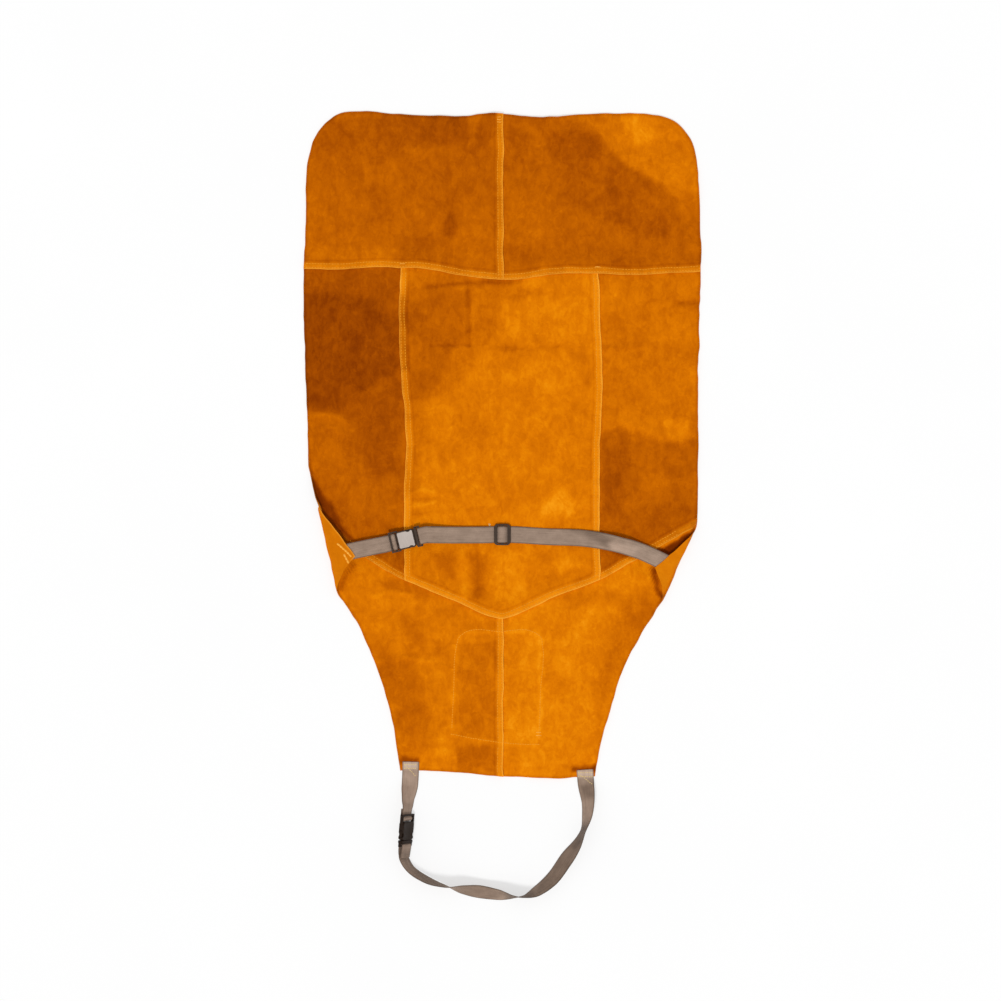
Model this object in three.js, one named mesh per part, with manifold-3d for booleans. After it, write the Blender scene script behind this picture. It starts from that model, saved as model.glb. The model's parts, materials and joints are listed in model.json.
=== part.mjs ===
// Leather welding apron, laid on its front with the suede back up.
// Millimetres, +Z up: the hem points to +Y, the bib and the neck loop to -Y.
// The origin is on the floor under the middle of the whole apron.

import * as THREE from 'three';
import Module from 'manifold-3d';
import { mergeVertices } from 'three/addons/utils/BufferGeometryUtils.js';

const wasm = await Module();
wasm.setup();

// Leather
const LEATHER = 1.4;
const GAP = 0.3;
const LAP = 11;

// Cells of the leather's mesh: on the flat, along a fold, round a roll and on a rolled corner
const CELL = 30;
const BIB_FOLD_CELL = 18;
const SKIRT_FOLD_CELL = 15;
const ROLL_CELL = 3.3;
const CORNER_CELL = 9;
const FEWEST_TURNS = 3;

// Reach of the lift that pocket and flap give round their edges
const POCKET_REACH = 46;
const FLAP_REACH = 30;

// How an upper panel settles from a lap to the floor: flat stretch, then ramp
const SETTLE = 4;
const RAMP = 14;
const CLEAR_AROUND = 18;
const LAP_STOPS = [LAP + SETTLE, LAP + SETTLE + RAMP];

// Webbing
const WEBBING_WIDTH = 25;
const WEBBING = 1.4;
const STRAP_SEAT = LEATHER + GAP + WEBBING / 2;
const LAID_LIFT = 0.9;

// Colours
const SUEDE = 0xd47612;
const TAPE = 0x9a8878;
const PLASTIC = 0x40352d;

// Sides of the cut, waist corners unrolled
const LEFT_SIDE = [
  { y: -96, x: -305 }, { y: -75, x: -302 }, { y: -50, x: -297 }, { y: -25, x: -291 },
  { y: 0, x: -288 }, { y: 25, x: -290.5 }, { y: 60, x: -293.5 }, { y: 120, x: -295 },
  { y: 205, x: -297.5 }, { y: 350, x: -301 }, { y: 420, x: -297 }, { y: 500, x: -295.5 },
  { y: 540, x: -290 }, { y: 572, x: -275 },
];
const RIGHT_SIDE = [
  { y: -123, x: 295.5 }, { y: -60, x: 296 }, { y: 0, x: 297 }, { y: 100, x: 297 },
  { y: 200, x: 297 }, { y: 350, x: 301 }, { y: 420, x: 300 }, { y: 500, x: 297 },
  { y: 540, x: 291 }, { y: 571, x: 275 },
];

// Armhole curves, from the bib's top corner to the unrolled waist corner
const LEFT_ARMHOLE = [
  { y: -401, x: -154.5 }, { y: -355, x: -160.5 }, { y: -310, x: -170 }, { y: -264, x: -183 },
  { y: -219, x: -200 }, { y: -170, x: -224 }, { y: -143, x: -242 }, { y: -123, x: -263 },
  { y: -106, x: -285 }, { y: -96, x: -305 },
];
const RIGHT_ARMHOLE = [
  { y: -410, x: 141 }, { y: -355, x: 150 }, { y: -310, x: 163.5 }, { y: -264, x: 177 },
  { y: -219, x: 197 }, { y: -170, x: 227 }, { y: -146, x: 245 }, { y: -133, x: 271 },
  { y: -123, x: 295.5 },
];

// Edges and seams that run across
const HEM_EDGE = [
  { x: -275, y: 572 }, { x: -254, y: 591 }, { x: -206, y: 597 }, { x: -150, y: 592 },
  { x: -60, y: 589.5 }, { x: -6, y: 595 }, { x: 48, y: 588.5 }, { x: 121, y: 591.5 },
  { x: 194, y: 594 }, { x: 250, y: 587 }, { x: 275, y: 571 },
];
const CROSS_SEAM = [
  { x: -303, y: 358 }, { x: -245, y: 357 }, { x: -190, y: 360 }, { x: -124, y: 358.5 },
  { x: -76, y: 351 }, { x: -26, y: 343.5 }, { x: 30, y: 343 }, { x: 73, y: 349 },
  { x: 110, y: 352 }, { x: 149, y: 350.5 }, { x: 209, y: 349.5 }, { x: 301, y: 353.5 },
];
const WAIST_SEAM = [
  { x: -305, y: -3 }, { x: -277, y: -22 }, { x: -238, y: -57 }, { x: -197, y: -85 },
  { x: -160, y: -107 }, { x: -101, y: -132 }, { x: -41, y: -159 }, { x: -3, y: -171.5 },
  { x: 24, y: -165 }, { x: 65, y: -144 }, { x: 125, y: -121.5 }, { x: 148.5, y: -112.5 },
  { x: 186, y: -92 }, { x: 239, y: -62 }, { x: 297, y: -30 },
];
const BIB_TOP = [
  { x: -154.5, y: -401 }, { x: -80, y: -403 }, { x: 0, y: -410.5 }, { x: 80, y: -413 }, { x: 141, y: -410 },
];

// Raw edges of the skirt's two upright seams
const LEFT_SEAM = [
  { y: -120, x: -148 }, { y: 5, x: -148.5 }, { y: 84, x: -145.5 }, { y: 130, x: -147 },
  { y: 198, x: -152.5 }, { y: 290, x: -156.5 }, { y: 375, x: -152.5 },
];
const RIGHT_SEAM = [
  { y: -120, x: 149.5 }, { y: 80, x: 148 }, { y: 180, x: 152 }, { y: 375, x: 145 },
];

// Raw edge of the centre seams in hem and bib
const CENTRE_SEAM = 2;

// Heights between which the cross seam and the waist seam meet the upright lines
const CROSS_SEAM_Y = [300, 420];
const WAIST_SEAM_Y = [-130, -60];

// Waist corners, rolled over the back along the line from top to bottom
const ROLL_RADIUS = 6;
const CORNER_REACH = 120;
const ROLL_ANGLE = THREE.MathUtils.degToRad(177);
const ROLL_LINES = {
  left: { top: [-283, 38], bottom: [-245, -124], outward: -1, endY: -152 },
  right: { top: [289, -30], bottom: [241, -136], outward: 1, endY: -190 },
};

// Heights to look for a roll's start and end in: below the armhole, at the seam, above it, and its top
const LEFT_FOLD_Y = [-190, -120, 60, 140];
const RIGHT_FOLD_Y = [-215, -150, 20, 40];

// Chest pocket on the front and the flap over its opening, corners in order
const POCKET = { left: -79, right: 60, low: -352, high: -188, lowRise: 14, highInset: 7 };
const FLAP = { left: -83, right: 62, low: -367, high: -300, lowRise: 16, highInset: 0 };
const POCKET_CORNER = 15;
const POCKET_CORNER_STOPS = [4.5, POCKET_CORNER];

// Side-release buckle: u along the strap, v across, w up from its underside
const BUCKLE = { body: [-14.4, 13], halfWidth: 14, height: 9, wall: 2.2, rail: 2.5, corner: 3 };
const LADDER = {
  outer: { u: [-25.5, -23], w: [4.3, 7] },
  inner: { u: [-19.6, -17], w: [2.35, 4.3] },
};
const WINDOW = [-2, 9];
const NOTCH = { u: 5, radius: 3.4, outside: 1 };
const SHOULDER = { u: [13.4, 18], w: [0.5, 8.5], corner: 1 };
const PRONG_BAR = { u: [20.6, 22.8], w: [3.2, 5.8] };
const PRONG_RAIL = [2.6, 6.4];
const ARM = { root: 14, thickness: 2.6, play: 0.5 };
const HEAD = { play: 0.6, sunk: 0.2 };
const GUIDE = { u: [-8, 14], halfWidth: 1.5 };
const RAIL_INSIDE = WEBBING_WIDTH / 2 + 0.7;
const BUCKLES = {
  waist: { x: -144.5, y: -51, z: 4.7, turn: 13.3, roll: 0 },
  neck: { x: -148.5, y: -491, z: 13.2, turn: -94.5, roll: 58 },
};

// Webbing round the socket's ladder bars and round the prong's bar
const LADDER_PATH = [
  { u: -32, w: 3.6 }, { u: -27, w: 3.3 }, { u: -24.2, w: 3.2 }, { u: -22.4, w: 3.5 },
  { u: -20.9, w: 4.7 }, { u: -19.4, w: 5.5 }, { u: -17.6, w: 5.5 }, { u: -16.2, w: 4.8 },
  { u: -15.7, w: 3.4 }, { u: -16.2, w: 1.7 }, { u: -17.8, w: 0.95 }, { u: -22, w: 0.9 },
  { u: -27, w: 0.9 }, { u: -34, w: 0.9 },
];
const BAR_PATH = [
  { u: 30, w: 6.9 }, { u: 25, w: 7.4 }, { u: 22.9, w: 7.5 }, { u: 20.9, w: 7.45 },
  { u: 19.6, w: 6.6 }, { u: 19.3, w: 4.5 }, { u: 19.6, w: 2.4 }, { u: 20.9, w: 1.55 },
  { u: 22.9, w: 1.5 }, { u: 26, w: 1.5 },
];
const NECK_FOLD_BACK = [{ u: 40, w: 6.2 }, { u: 35, w: 6.4 }];

// Three-bar slider on the waist strap and the webbing woven through it
const SLIDER_PLACE = { x: 0.5, y: -44, z: 1.4 };
const SLIDER = { half: [11.6, 16], bar: 2.8, centreBar: 2, rail: 2.4, w: [2, 4.6], corner: 5 };
const SLIDER_PATH = [
  { u: 13.5, w: 1 }, { u: 8, w: 1.05 }, { u: 6, w: 2.1 }, { u: 4.2, w: 4.4 }, { u: 2.3, w: 5.6 },
  { u: 0, w: 5.75 }, { u: -2.3, w: 5.6 }, { u: -4.2, w: 4.4 }, { u: -6, w: 2.1 }, { u: -8, w: 1.05 },
  { u: -12, w: 1.1 },
];

// Eased edges of the plastic, how far joined blocks or a cut run past a face, and a round cut's sides
const EASED = { socket: 0.8, shoulder: 0.4, slider: 0.5 };
const BITE = 1;
const PEG_SIDES = 24;

// Waist strap: z is the middle of the webbing, roll its twist in degrees
const WAIST_LEFT_SEWN = [{ x: -246, y: -73 }, { x: -228, y: -69 }];
const WAIST_RIGHT_SEWN = [{ x: 254, y: -90 }, { x: 240, y: -83 }];
const WAIST_LAID = [
  { x: 209, y: -69, z: 8.4, roll: -8 }, { x: 179, y: -60, z: 8.2, roll: 16 },
  { x: 148, y: -53, z: 6.2, roll: 4 }, { x: 119, y: -49.2, z: 4.4, roll: 0 },
  { x: 68, y: -47.2, z: 2.6, roll: 0 }, { x: 28, y: -44.6, z: 2.4, roll: 0 },
];
const WAIST_UPPER = [
  { x: -21, y: -44.4, z: 4.5, roll: 0 }, { x: -60, y: -44.8, z: 5.4, roll: 0 },
  { x: -90, y: -44.6, z: 7.6, roll: 0 },
];
const WAIST_LOWER = [
  { x: -104, y: -44, z: 3.9, roll: 0 }, { x: -88, y: -44.4, z: 2.7, roll: 0 },
  { x: -60, y: -44.8, z: 2.5, roll: 0 }, { x: -22, y: -44.4, z: 2.5, roll: 0 },
];

// Neck strap: sewn ends on the bib, then laid on the floor with this roll toward the loop's inside
const NECK_LEFT_SEWN = [{ x: -138, y: -388, z: 2.5, roll: 0 }, { x: -138.6, y: -408, z: 2.6, roll: 0 }];
const NECK_LEFT_LAID = [
  { x: -139.6, y: -424, roll: 10 }, { x: -141.8, y: -440, roll: 40 },
];
const NECK_LAID = [
  { x: -148.5, y: -531, roll: 58 }, { x: -138, y: -549, roll: 66 }, { x: -112, y: -566, roll: 72 },
  { x: -85, y: -575, roll: 90 }, { x: -63, y: -579.5, roll: 125 }, { x: -33, y: -584, roll: 148 },
  { x: -3, y: -588.5, roll: 135 }, { x: 19, y: -591, roll: 105 }, { x: 33, y: -590.5, roll: 90 },
  { x: 51, y: -583.5, roll: 60 }, { x: 76, y: -564, roll: 42 }, { x: 97, y: -535, roll: 38 },
  { x: 113.5, y: -511.5, roll: 60 }, { x: 122.5, y: -491.5, roll: 75 }, { x: 128.5, y: -469, roll: 55 },
  { x: 130, y: -446, roll: 40 }, { x: 127.5, y: -425, roll: 15 },
];
const NECK_RIGHT_SEWN = [{ x: 126.5, y: -414, z: 3, roll: 0 }, { x: 125.5, y: -400, z: 2.6, roll: 0 }];

// Spacing of the stations along laid and along bent webbing
const LAID_STEP = 9;
const BENT_STEP = 1.6;

// Halvings in the search for a crossing, and the distance under which corners are one point
const HALVINGS = 50;
const WELD = 1e-4;

// Value of one column as a smooth function of another, which rises from row to row
function through(rows, from, to) {
  const tangent = i => {
    const before = rows[Math.max(i - 1, 0)];
    const after = rows[Math.min(i + 1, rows.length - 1)];
    return (after[to] - before[to]) / (after[from] - before[from]);
  };
  return value => {
    const found = rows.findIndex((row, i) => i > 0 && value <= row[from]);
    const i = (found < 0 ? rows.length - 1 : found) - 1;
    const span = rows[i + 1][from] - rows[i][from];
    const t = (value - rows[i][from]) / span;
    const start = (1 + 2 * t) * (1 - t) ** 2 * rows[i][to];
    const leave = t * (1 - t) ** 2 * span * tangent(i);
    const end = t * t * (3 - 2 * t) * rows[i + 1][to];
    const arrive = t * t * (t - 1) * span * tangent(i + 1);
    return start + leave + end + arrive;
  };
}

const leftSide = through(LEFT_SIDE, 'y', 'x');
const rightSide = through(RIGHT_SIDE, 'y', 'x');
const leftArmhole = through(LEFT_ARMHOLE, 'y', 'x');
const rightArmhole = through(RIGHT_ARMHOLE, 'y', 'x');
const leftSeam = through(LEFT_SEAM, 'y', 'x');
const rightSeam = through(RIGHT_SEAM, 'y', 'x');
const hemEdge = through(HEM_EDGE, 'x', 'y');
const crossSeam = through(CROSS_SEAM, 'x', 'y');
const waistSeam = through(WAIST_SEAM, 'x', 'y');
const bibTop = through(BIB_TOP, 'x', 'y');
const underCrossSeam = x => crossSeam(x) + LAP;
const underWaistSeam = x => waistSeam(x) + LAP;

// Point where a sign changes between two values
function root(sign, low, high) {
  const rising = sign(high) > sign(low);
  for (let step = 0; step < HALVINGS; step += 1) {
    const middle = (low + high) / 2;
    if (sign(middle) > 0 === rising) high = middle;
    else low = middle;
  }
  return (low + high) / 2;
}

const at = (x, y) => new THREE.Vector2(x, y);

// Crossing of an upright curve x(y) with an across curve y(x)
function crossing(upright, across, low, high) {
  const y = root(value => value - across(upright(value)), low, high);
  return at(upright(y), y);
}

// Roll of a waist corner: distance from its line, and the rolled place of a point of the flat cut
function makeRoll({ top, bottom, outward, endY }) {
  const start = at(...top);
  const along = at(...bottom).sub(start).normalize();
  const normal = at(along.y, -along.x).multiplyScalar(-outward);
  const distance = point => point.clone().sub(start).dot(normal);
  const lineX = y => start.x + (y - start.y) * along.x / along.y;
  const profile = (s, height) => {
    const angle = Math.min(s / ROLL_RADIUS, ROLL_ANGLE);
    const rest = s - angle * ROLL_RADIUS;
    const radius = ROLL_RADIUS - height;
    const offset = radius * Math.sin(angle) + rest * Math.cos(angle);
    const rise = ROLL_RADIUS - radius * Math.cos(angle) + rest * Math.sin(angle);
    return { offset, rise };
  };
  const place = (point, height) => {
    const s = distance(point);
    if (s <= 0 || point.y < endY) return new THREE.Vector3(point.x, point.y, height);
    const { offset, rise } = profile(s, height);
    const base = point.clone().addScaledVector(normal, offset - s);
    return new THREE.Vector3(base.x, base.y, rise);
  };
  // Height of a strap's middle under the rolled corner, above a point of the floor
  const strapHeight = point => {
    const beyond = s => distance(point) - profile(s, STRAP_SEAT).offset;
    const cut = root(beyond, ROLL_ANGLE * ROLL_RADIUS, CORNER_REACH);
    return profile(cut, STRAP_SEAT).rise;
  };
  return { distance, lineX, place, strapHeight };
}

const rolls = { left: makeRoll(ROLL_LINES.left), right: makeRoll(ROLL_LINES.right) };

// Sampled boundaries and patches of a flat cut

// Fractions along a side: optional lap stops at either end, even cells between
function stops(length, { start = [], end = [], cell = CELL, count } = {}) {
  const first = [0, ...start];
  const last = [length, ...end.map(d => length - d)].reverse();
  const from = first.at(-1);
  const span = last[0] - from;
  count ??= Math.max(1, Math.round(span / cell));
  const between = Array.from({ length: count - 1 }, (_, i) => from + span * (i + 1) / count);
  return [...first, ...between, ...last].map(d => d / length);
}

const across = (curve, fromX, toX, fractions) => fractions.map(f => {
  const x = THREE.MathUtils.lerp(fromX, toX, f);
  return at(x, curve(x));
});
const upright = (curve, fromY, toY, fractions) => fractions.map(f => {
  const y = THREE.MathUtils.lerp(fromY, toY, f);
  return at(curve(y), y);
});

// Distances along a row of points as fractions of its length
function fractionsOf(points) {
  const sums = [0];
  for (let i = 1; i < points.length; i += 1) {
    sums.push(sums[i - 1] + points[i].distanceTo(points[i - 1]));
  }
  const total = sums.at(-1) || 1;
  return sums.map(sum => sum / total);
}

// Points of a four-sided patch between its sides; a side may shrink to a point
function patch({ low, high, left, right }) {
  const columns = low.length;
  const rows = left.length;
  const mean = (a, b) => fractionsOf(a).map((f, i) => (f + fractionsOf(b)[i]) / 2);
  const us = mean(low, high);
  const vs = mean(left, right);
  const mix = (a, b, t) => a.clone().lerp(b, t);
  const grid = [];
  for (let j = 0; j < rows; j += 1) {
    for (let i = 0; i < columns; i += 1) {
      const between = mix(low[i], high[i], vs[j]).add(mix(left[j], right[j], us[i]));
      const corners = mix(mix(low[0], low.at(-1), us[i]), mix(high[0], high.at(-1), us[i]), vs[j]);
      grid.push(between.sub(corners));
    }
  }
  return { grid, columns, rows };
}

// Flat mesh of one panel, from patches that share their meeting points
function flatMesh(patches) {
  const points = [];
  const known = new Map();
  const triangles = [];
  const indexOf = point => {
    const key = `${point.x.toFixed(2)},${point.y.toFixed(2)}`;
    if (!known.has(key)) known.set(key, points.push(point) - 1);
    return known.get(key);
  };
  const addTriangle = corners => {
    if (new Set(corners).size < 3) return;
    const [a, b, c] = corners.map(i => points[i]);
    const turn = b.clone().sub(a).cross(c.clone().sub(a));
    triangles.push(turn > 0 ? corners : [corners[0], corners[2], corners[1]]);
  };
  for (const { grid, columns, rows } of patches) {
    const index = grid.map(indexOf);
    for (let j = 0; j + 1 < rows; j += 1) {
      for (let i = 0; i + 1 < columns; i += 1) {
        const a = index[j * columns + i];
        const b = index[j * columns + i + 1];
        const c = index[(j + 1) * columns + i + 1];
        const d = index[(j + 1) * columns + i];
        addTriangle([a, b, c]);
        addTriangle([a, c, d]);
      }
    }
  }
  return { points, triangles, rim: rimOf(triangles) };
}

// Directed edges that only one triangle has
function rimOf(triangles) {
  const edges = new Map();
  for (const [a, b, c] of triangles) {
    for (const [from, to] of [[a, b], [b, c], [c, a]]) {
      const back = `${to},${from}`;
      if (edges.has(back)) edges.delete(back);
      else edges.set(`${from},${to}`, [from, to]);
    }
  }
  return [...edges.values()];
}

// Distance of a point outside a flat mesh, zero inside
function distanceOutside({ points, rim }, point) {
  let inside = false;
  let nearest = Infinity;
  for (const [from, to] of rim) {
    const a = points[from];
    const b = points[to];
    const edge = b.clone().sub(a);
    const reach = THREE.MathUtils.clamp(point.clone().sub(a).dot(edge) / edge.lengthSq(), 0, 1);
    nearest = Math.min(nearest, a.clone().addScaledVector(edge, reach).distanceTo(point));
    const crosses = a.y > point.y !== b.y > point.y;
    if (crosses && point.x < a.x + (point.y - a.y) * edge.x / edge.y) inside = !inside;
  }
  return inside ? 0 : nearest;
}

// Flat cuts of the panels, listed from the lowest in the stack to the topmost

// Patch pocket or flap: a four-sided patch with a slanted low edge and round high corners
function pocketCut({ left, right, low, high, lowRise, highInset }) {
  const width = stops(right - left, { start: POCKET_CORNER_STOPS, end: POCKET_CORNER_STOPS });
  const depth = stops(high - low);
  const line = (from, to, fractions) => fractions.map(f => from.clone().lerp(to, f));
  const lowLeft = at(left, low + lowRise);
  const lowRight = at(right, low);
  const highLeft = at(left + highInset, high);
  const highRight = at(right + highInset / 2, high);
  const highEdge = line(highLeft, highRight, width);
  for (const point of highEdge) {
    const fromSide = Math.min(point.distanceTo(highLeft), point.distanceTo(highRight), POCKET_CORNER);
    point.y -= POCKET_CORNER - Math.sqrt(POCKET_CORNER ** 2 - (POCKET_CORNER - fromSide) ** 2);
  }
  return [patch({
    low: line(lowLeft, lowRight, width),
    high: highEdge,
    left: line(lowLeft, highEdge[0], depth),
    right: line(lowRight, highEdge.at(-1), depth),
  })];
}

// Stops from the roll line to a waist corner: short steps round the roll, longer ones beyond
function rollStops(length) {
  const rolled = Math.min(length, ROLL_ANGLE * ROLL_RADIUS);
  const turns = Math.max(FEWEST_TURNS, Math.round(rolled / ROLL_CELL));
  const round = Array.from({ length: turns }, (_, i) => rolled * (i + 1) / turns);
  const flat = length - rolled;
  const count = Math.round(flat / CORNER_CELL);
  const beyond = Array.from({ length: count }, (_, i) => rolled + flat * (i + 1) / count);
  return [0, ...round, ...beyond].map(d => d / length);
}

// One half of the bib: its body from the centre seam to roll line and armhole, and its waist corner
function bibCut({ roll, side, armhole, inner, innerStops, cornerY, foldY }) {
  const armholeSign = y => roll.distance(at(armhole(y), y));
  const foldEnd = root(armholeSign, foldY[0], foldY[1]);
  const foldStart = crossing(roll.lineX, underWaistSeam, foldY[1], foldY[2]);
  const sideStart = crossing(side, underWaistSeam, foldY[1], foldY[2]);
  const tip = bibTop(armhole(bibTop(0)));
  const armholePoints = upright(armhole, tip, foldEnd, stops(foldEnd - tip));
  const foldStops = stops(foldStart.y - foldEnd, { cell: BIB_FOLD_CELL });
  const foldPoints = upright(roll.lineX, foldEnd, foldStart.y, foldStops);
  foldPoints[0] = armholePoints.at(-1);
  const outer = [...armholePoints, ...foldPoints.slice(1)];
  const upFractions = fractionsOf(outer);
  const innerPoints = upright(() => inner, bibTop(inner), underWaistSeam(inner), upFractions);
  const count = Math.round(Math.abs((outer[0].x + foldStart.x) / 2 - inner) / CELL);
  const widthStops = width => stops(Math.abs(width), { start: innerStops, count });
  const low = across(bibTop, inner, outer[0].x, widthStops(outer[0].x - inner));
  low[low.length - 1] = outer[0];
  const body = patch({
    low,
    high: across(underWaistSeam, inner, foldStart.x, widthStops(foldStart.x - inner)),
    left: innerPoints,
    right: outer,
  });
  const cornerPoint = at(side(cornerY), cornerY);
  const outward = rollStops(roll.distance(cornerPoint));
  const corner = patch({
    low: upright(armhole, foldEnd, cornerY, outward),
    high: across(underWaistSeam, foldStart.x, sideStart.x, outward),
    left: foldPoints,
    right: upright(side, cornerY, sideStart.y, fractionsOf(foldPoints)),
  });
  return [body, corner];
}

// One side of the skirt: its body from the upright seam to side and roll line, and its share of the corner
function sideSkirtCut({ roll, side, inner, foldY }) {
  const sideSign = y => roll.distance(at(side(y), y));
  const rollTop = root(sideSign, foldY[1], foldY[3]);
  const foldEnd = crossing(roll.lineX, waistSeam, foldY[1], foldY[2]);
  const sideEnd = crossing(side, waistSeam, foldY[1], foldY[2]);
  const top = crossing(side, underCrossSeam, ...CROSS_SEAM_Y);
  const foldStops = stops(rollTop - foldEnd.y, { cell: SKIRT_FOLD_CELL });
  const foldPoints = upright(roll.lineX, foldEnd.y, rollTop, foldStops);
  const sidePoints = upright(side, rollTop, top.y, stops(top.y - rollTop));
  foldPoints[foldPoints.length - 1] = sidePoints[0];
  const outer = [...foldPoints, ...sidePoints.slice(1)];
  const innerLow = crossing(inner, waistSeam, ...WAIST_SEAM_Y);
  const innerHigh = crossing(inner, underCrossSeam, ...CROSS_SEAM_Y);
  const width = stops(Math.abs(foldEnd.x - innerLow.x));
  const outerRise = fractionsOf(outer);
  const body = patch({
    low: across(waistSeam, innerLow.x, foldEnd.x, width),
    high: across(underCrossSeam, innerHigh.x, top.x, width),
    left: upright(inner, innerLow.y, innerHigh.y, outerRise),
    right: outer,
  });
  const outward = rollStops(roll.distance(sideEnd));
  const corner = patch({
    low: across(waistSeam, foldEnd.x, sideEnd.x, outward),
    high: outward.map(() => sidePoints[0]),
    left: foldPoints,
    right: upright(side, sideEnd.y, rollTop, fractionsOf(foldPoints)),
  });
  return [body, corner];
}

// Middle of the skirt, between the raw edges of the upright seams
function centreSkirtCut() {
  const lowLeft = crossing(leftSeam, waistSeam, ...WAIST_SEAM_Y);
  const lowRight = crossing(rightSeam, waistSeam, ...WAIST_SEAM_Y);
  const highLeft = crossing(leftSeam, underCrossSeam, ...CROSS_SEAM_Y);
  const highRight = crossing(rightSeam, underCrossSeam, ...CROSS_SEAM_Y);
  const width = stops(lowRight.x - lowLeft.x, { start: LAP_STOPS, end: LAP_STOPS });
  const height = stops(highLeft.y - lowLeft.y, { start: LAP_STOPS });
  return [patch({
    low: across(waistSeam, lowLeft.x, lowRight.x, width),
    high: across(underCrossSeam, highLeft.x, highRight.x, width),
    left: upright(leftSeam, lowLeft.y, highLeft.y, height),
    right: upright(rightSeam, lowRight.y, highRight.y, height),
  })];
}

// One half of the hem, with its rounded corner split between side and hem edge
function hemCut({ side, inner, innerStops, cornerX, cornerY }) {
  const low = crossing(side, crossSeam, ...CROSS_SEAM_Y);
  const width = stops(Math.abs(low.x - inner), { start: innerStops });
  const height = stops(cornerY - low.y, { start: LAP_STOPS });
  return [patch({
    low: across(crossSeam, inner, low.x, width),
    high: across(hemEdge, inner, cornerX, width),
    left: upright(() => inner, crossSeam(inner), hemEdge(inner), height),
    right: upright(side, low.y, cornerY, height),
  })];
}

const CUTS = [
  { name: 'pocket_flap', patches: pocketCut(FLAP), reach: FLAP_REACH },
  { name: 'chest_pocket', patches: pocketCut(POCKET), reach: POCKET_REACH },
  {
    name: 'bib_panel_right',
    patches: bibCut({
      roll: rolls.right, side: rightSide, armhole: rightArmhole, inner: CENTRE_SEAM - LAP,
      innerStops: [], cornerY: RIGHT_SIDE[0].y, foldY: RIGHT_FOLD_Y,
    }),
  },
  {
    name: 'bib_panel_left',
    patches: bibCut({
      roll: rolls.left, side: leftSide, armhole: leftArmhole, inner: CENTRE_SEAM,
      innerStops: LAP_STOPS, cornerY: LEFT_SIDE[0].y, foldY: LEFT_FOLD_Y,
    }),
  },
  {
    name: 'skirt_panel_left',
    patches: sideSkirtCut({
      roll: rolls.left, side: leftSide, inner: y => leftSeam(y) + LAP, foldY: LEFT_FOLD_Y,
    }),
  },
  {
    name: 'skirt_panel_right',
    patches: sideSkirtCut({
      roll: rolls.right, side: rightSide, inner: y => rightSeam(y) - LAP, foldY: RIGHT_FOLD_Y,
    }),
  },
  { name: 'skirt_panel_centre', patches: centreSkirtCut() },
  {
    name: 'hem_panel_right',
    patches: hemCut({
      side: rightSide, inner: CENTRE_SEAM - LAP, innerStops: [], cornerX: HEM_EDGE.at(-1).x,
      cornerY: RIGHT_SIDE.at(-1).y,
    }),
  },
  {
    name: 'hem_panel_left',
    patches: hemCut({
      side: leftSide, inner: CENTRE_SEAM, innerStops: LAP_STOPS, cornerX: HEM_EDGE[0].x,
      cornerY: LEFT_SIDE.at(-1).y,
    }),
  },
];
const panels = CUTS.map(({ name, patches, reach = SETTLE }) => ({ name, reach, ...flatMesh(patches) }));

// Height of a panel's underside: clear of every panel below it, and down on the floor away from them
function layHeight(rank, point, margin = 0) {
  let height = 0;
  for (let below = 0; below < rank; below += 1) {
    const away = distanceOutside(panels[below], point) - panels[below].reach - margin;
    if (away < RAMP) {
      const share = 1 - THREE.MathUtils.smoothstep(away, 0, RAMP);
      const top = layHeight(below, point, margin + CLEAR_AROUND) + LEATHER + GAP;
      height = Math.max(height, share * top);
    }
  }
  return height;
}

// Closed solids

function geometryFrom(vertices, triangles) {
  const geometry = new THREE.BufferGeometry();
  const places = vertices.flatMap(vertex => vertex.toArray());
  geometry.setAttribute('position', new THREE.Float32BufferAttribute(places, 3));
  geometry.setIndex(triangles.flat());
  geometry.computeVertexNormals();
  return geometry;
}

// Leather wall over a flat cut: underside, top and raw edges
function panelGeometry(rank) {
  const { points, triangles, rim } = panels[rank];
  const placed = (point, height) => rolls[point.x < 0 ? 'left' : 'right'].place(point, height);
  const heights = points.map(point => layHeight(rank, point));
  const under = points.map((point, i) => placed(point, heights[i]));
  const over = points.map((point, i) => placed(point, heights[i] + LEATHER));
  const n = points.length;
  const walls = rim.flatMap(([a, b]) => [[a, b, b + n], [a, b + n, a + n]]);
  const tops = triangles.map(([a, b, c]) => [a + n, b + n, c + n]);
  const bottoms = triangles.map(([a, b, c]) => [a, c, b]);
  return geometryFrom([...under, ...over], [...bottoms, ...tops, ...walls]);
}

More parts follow.
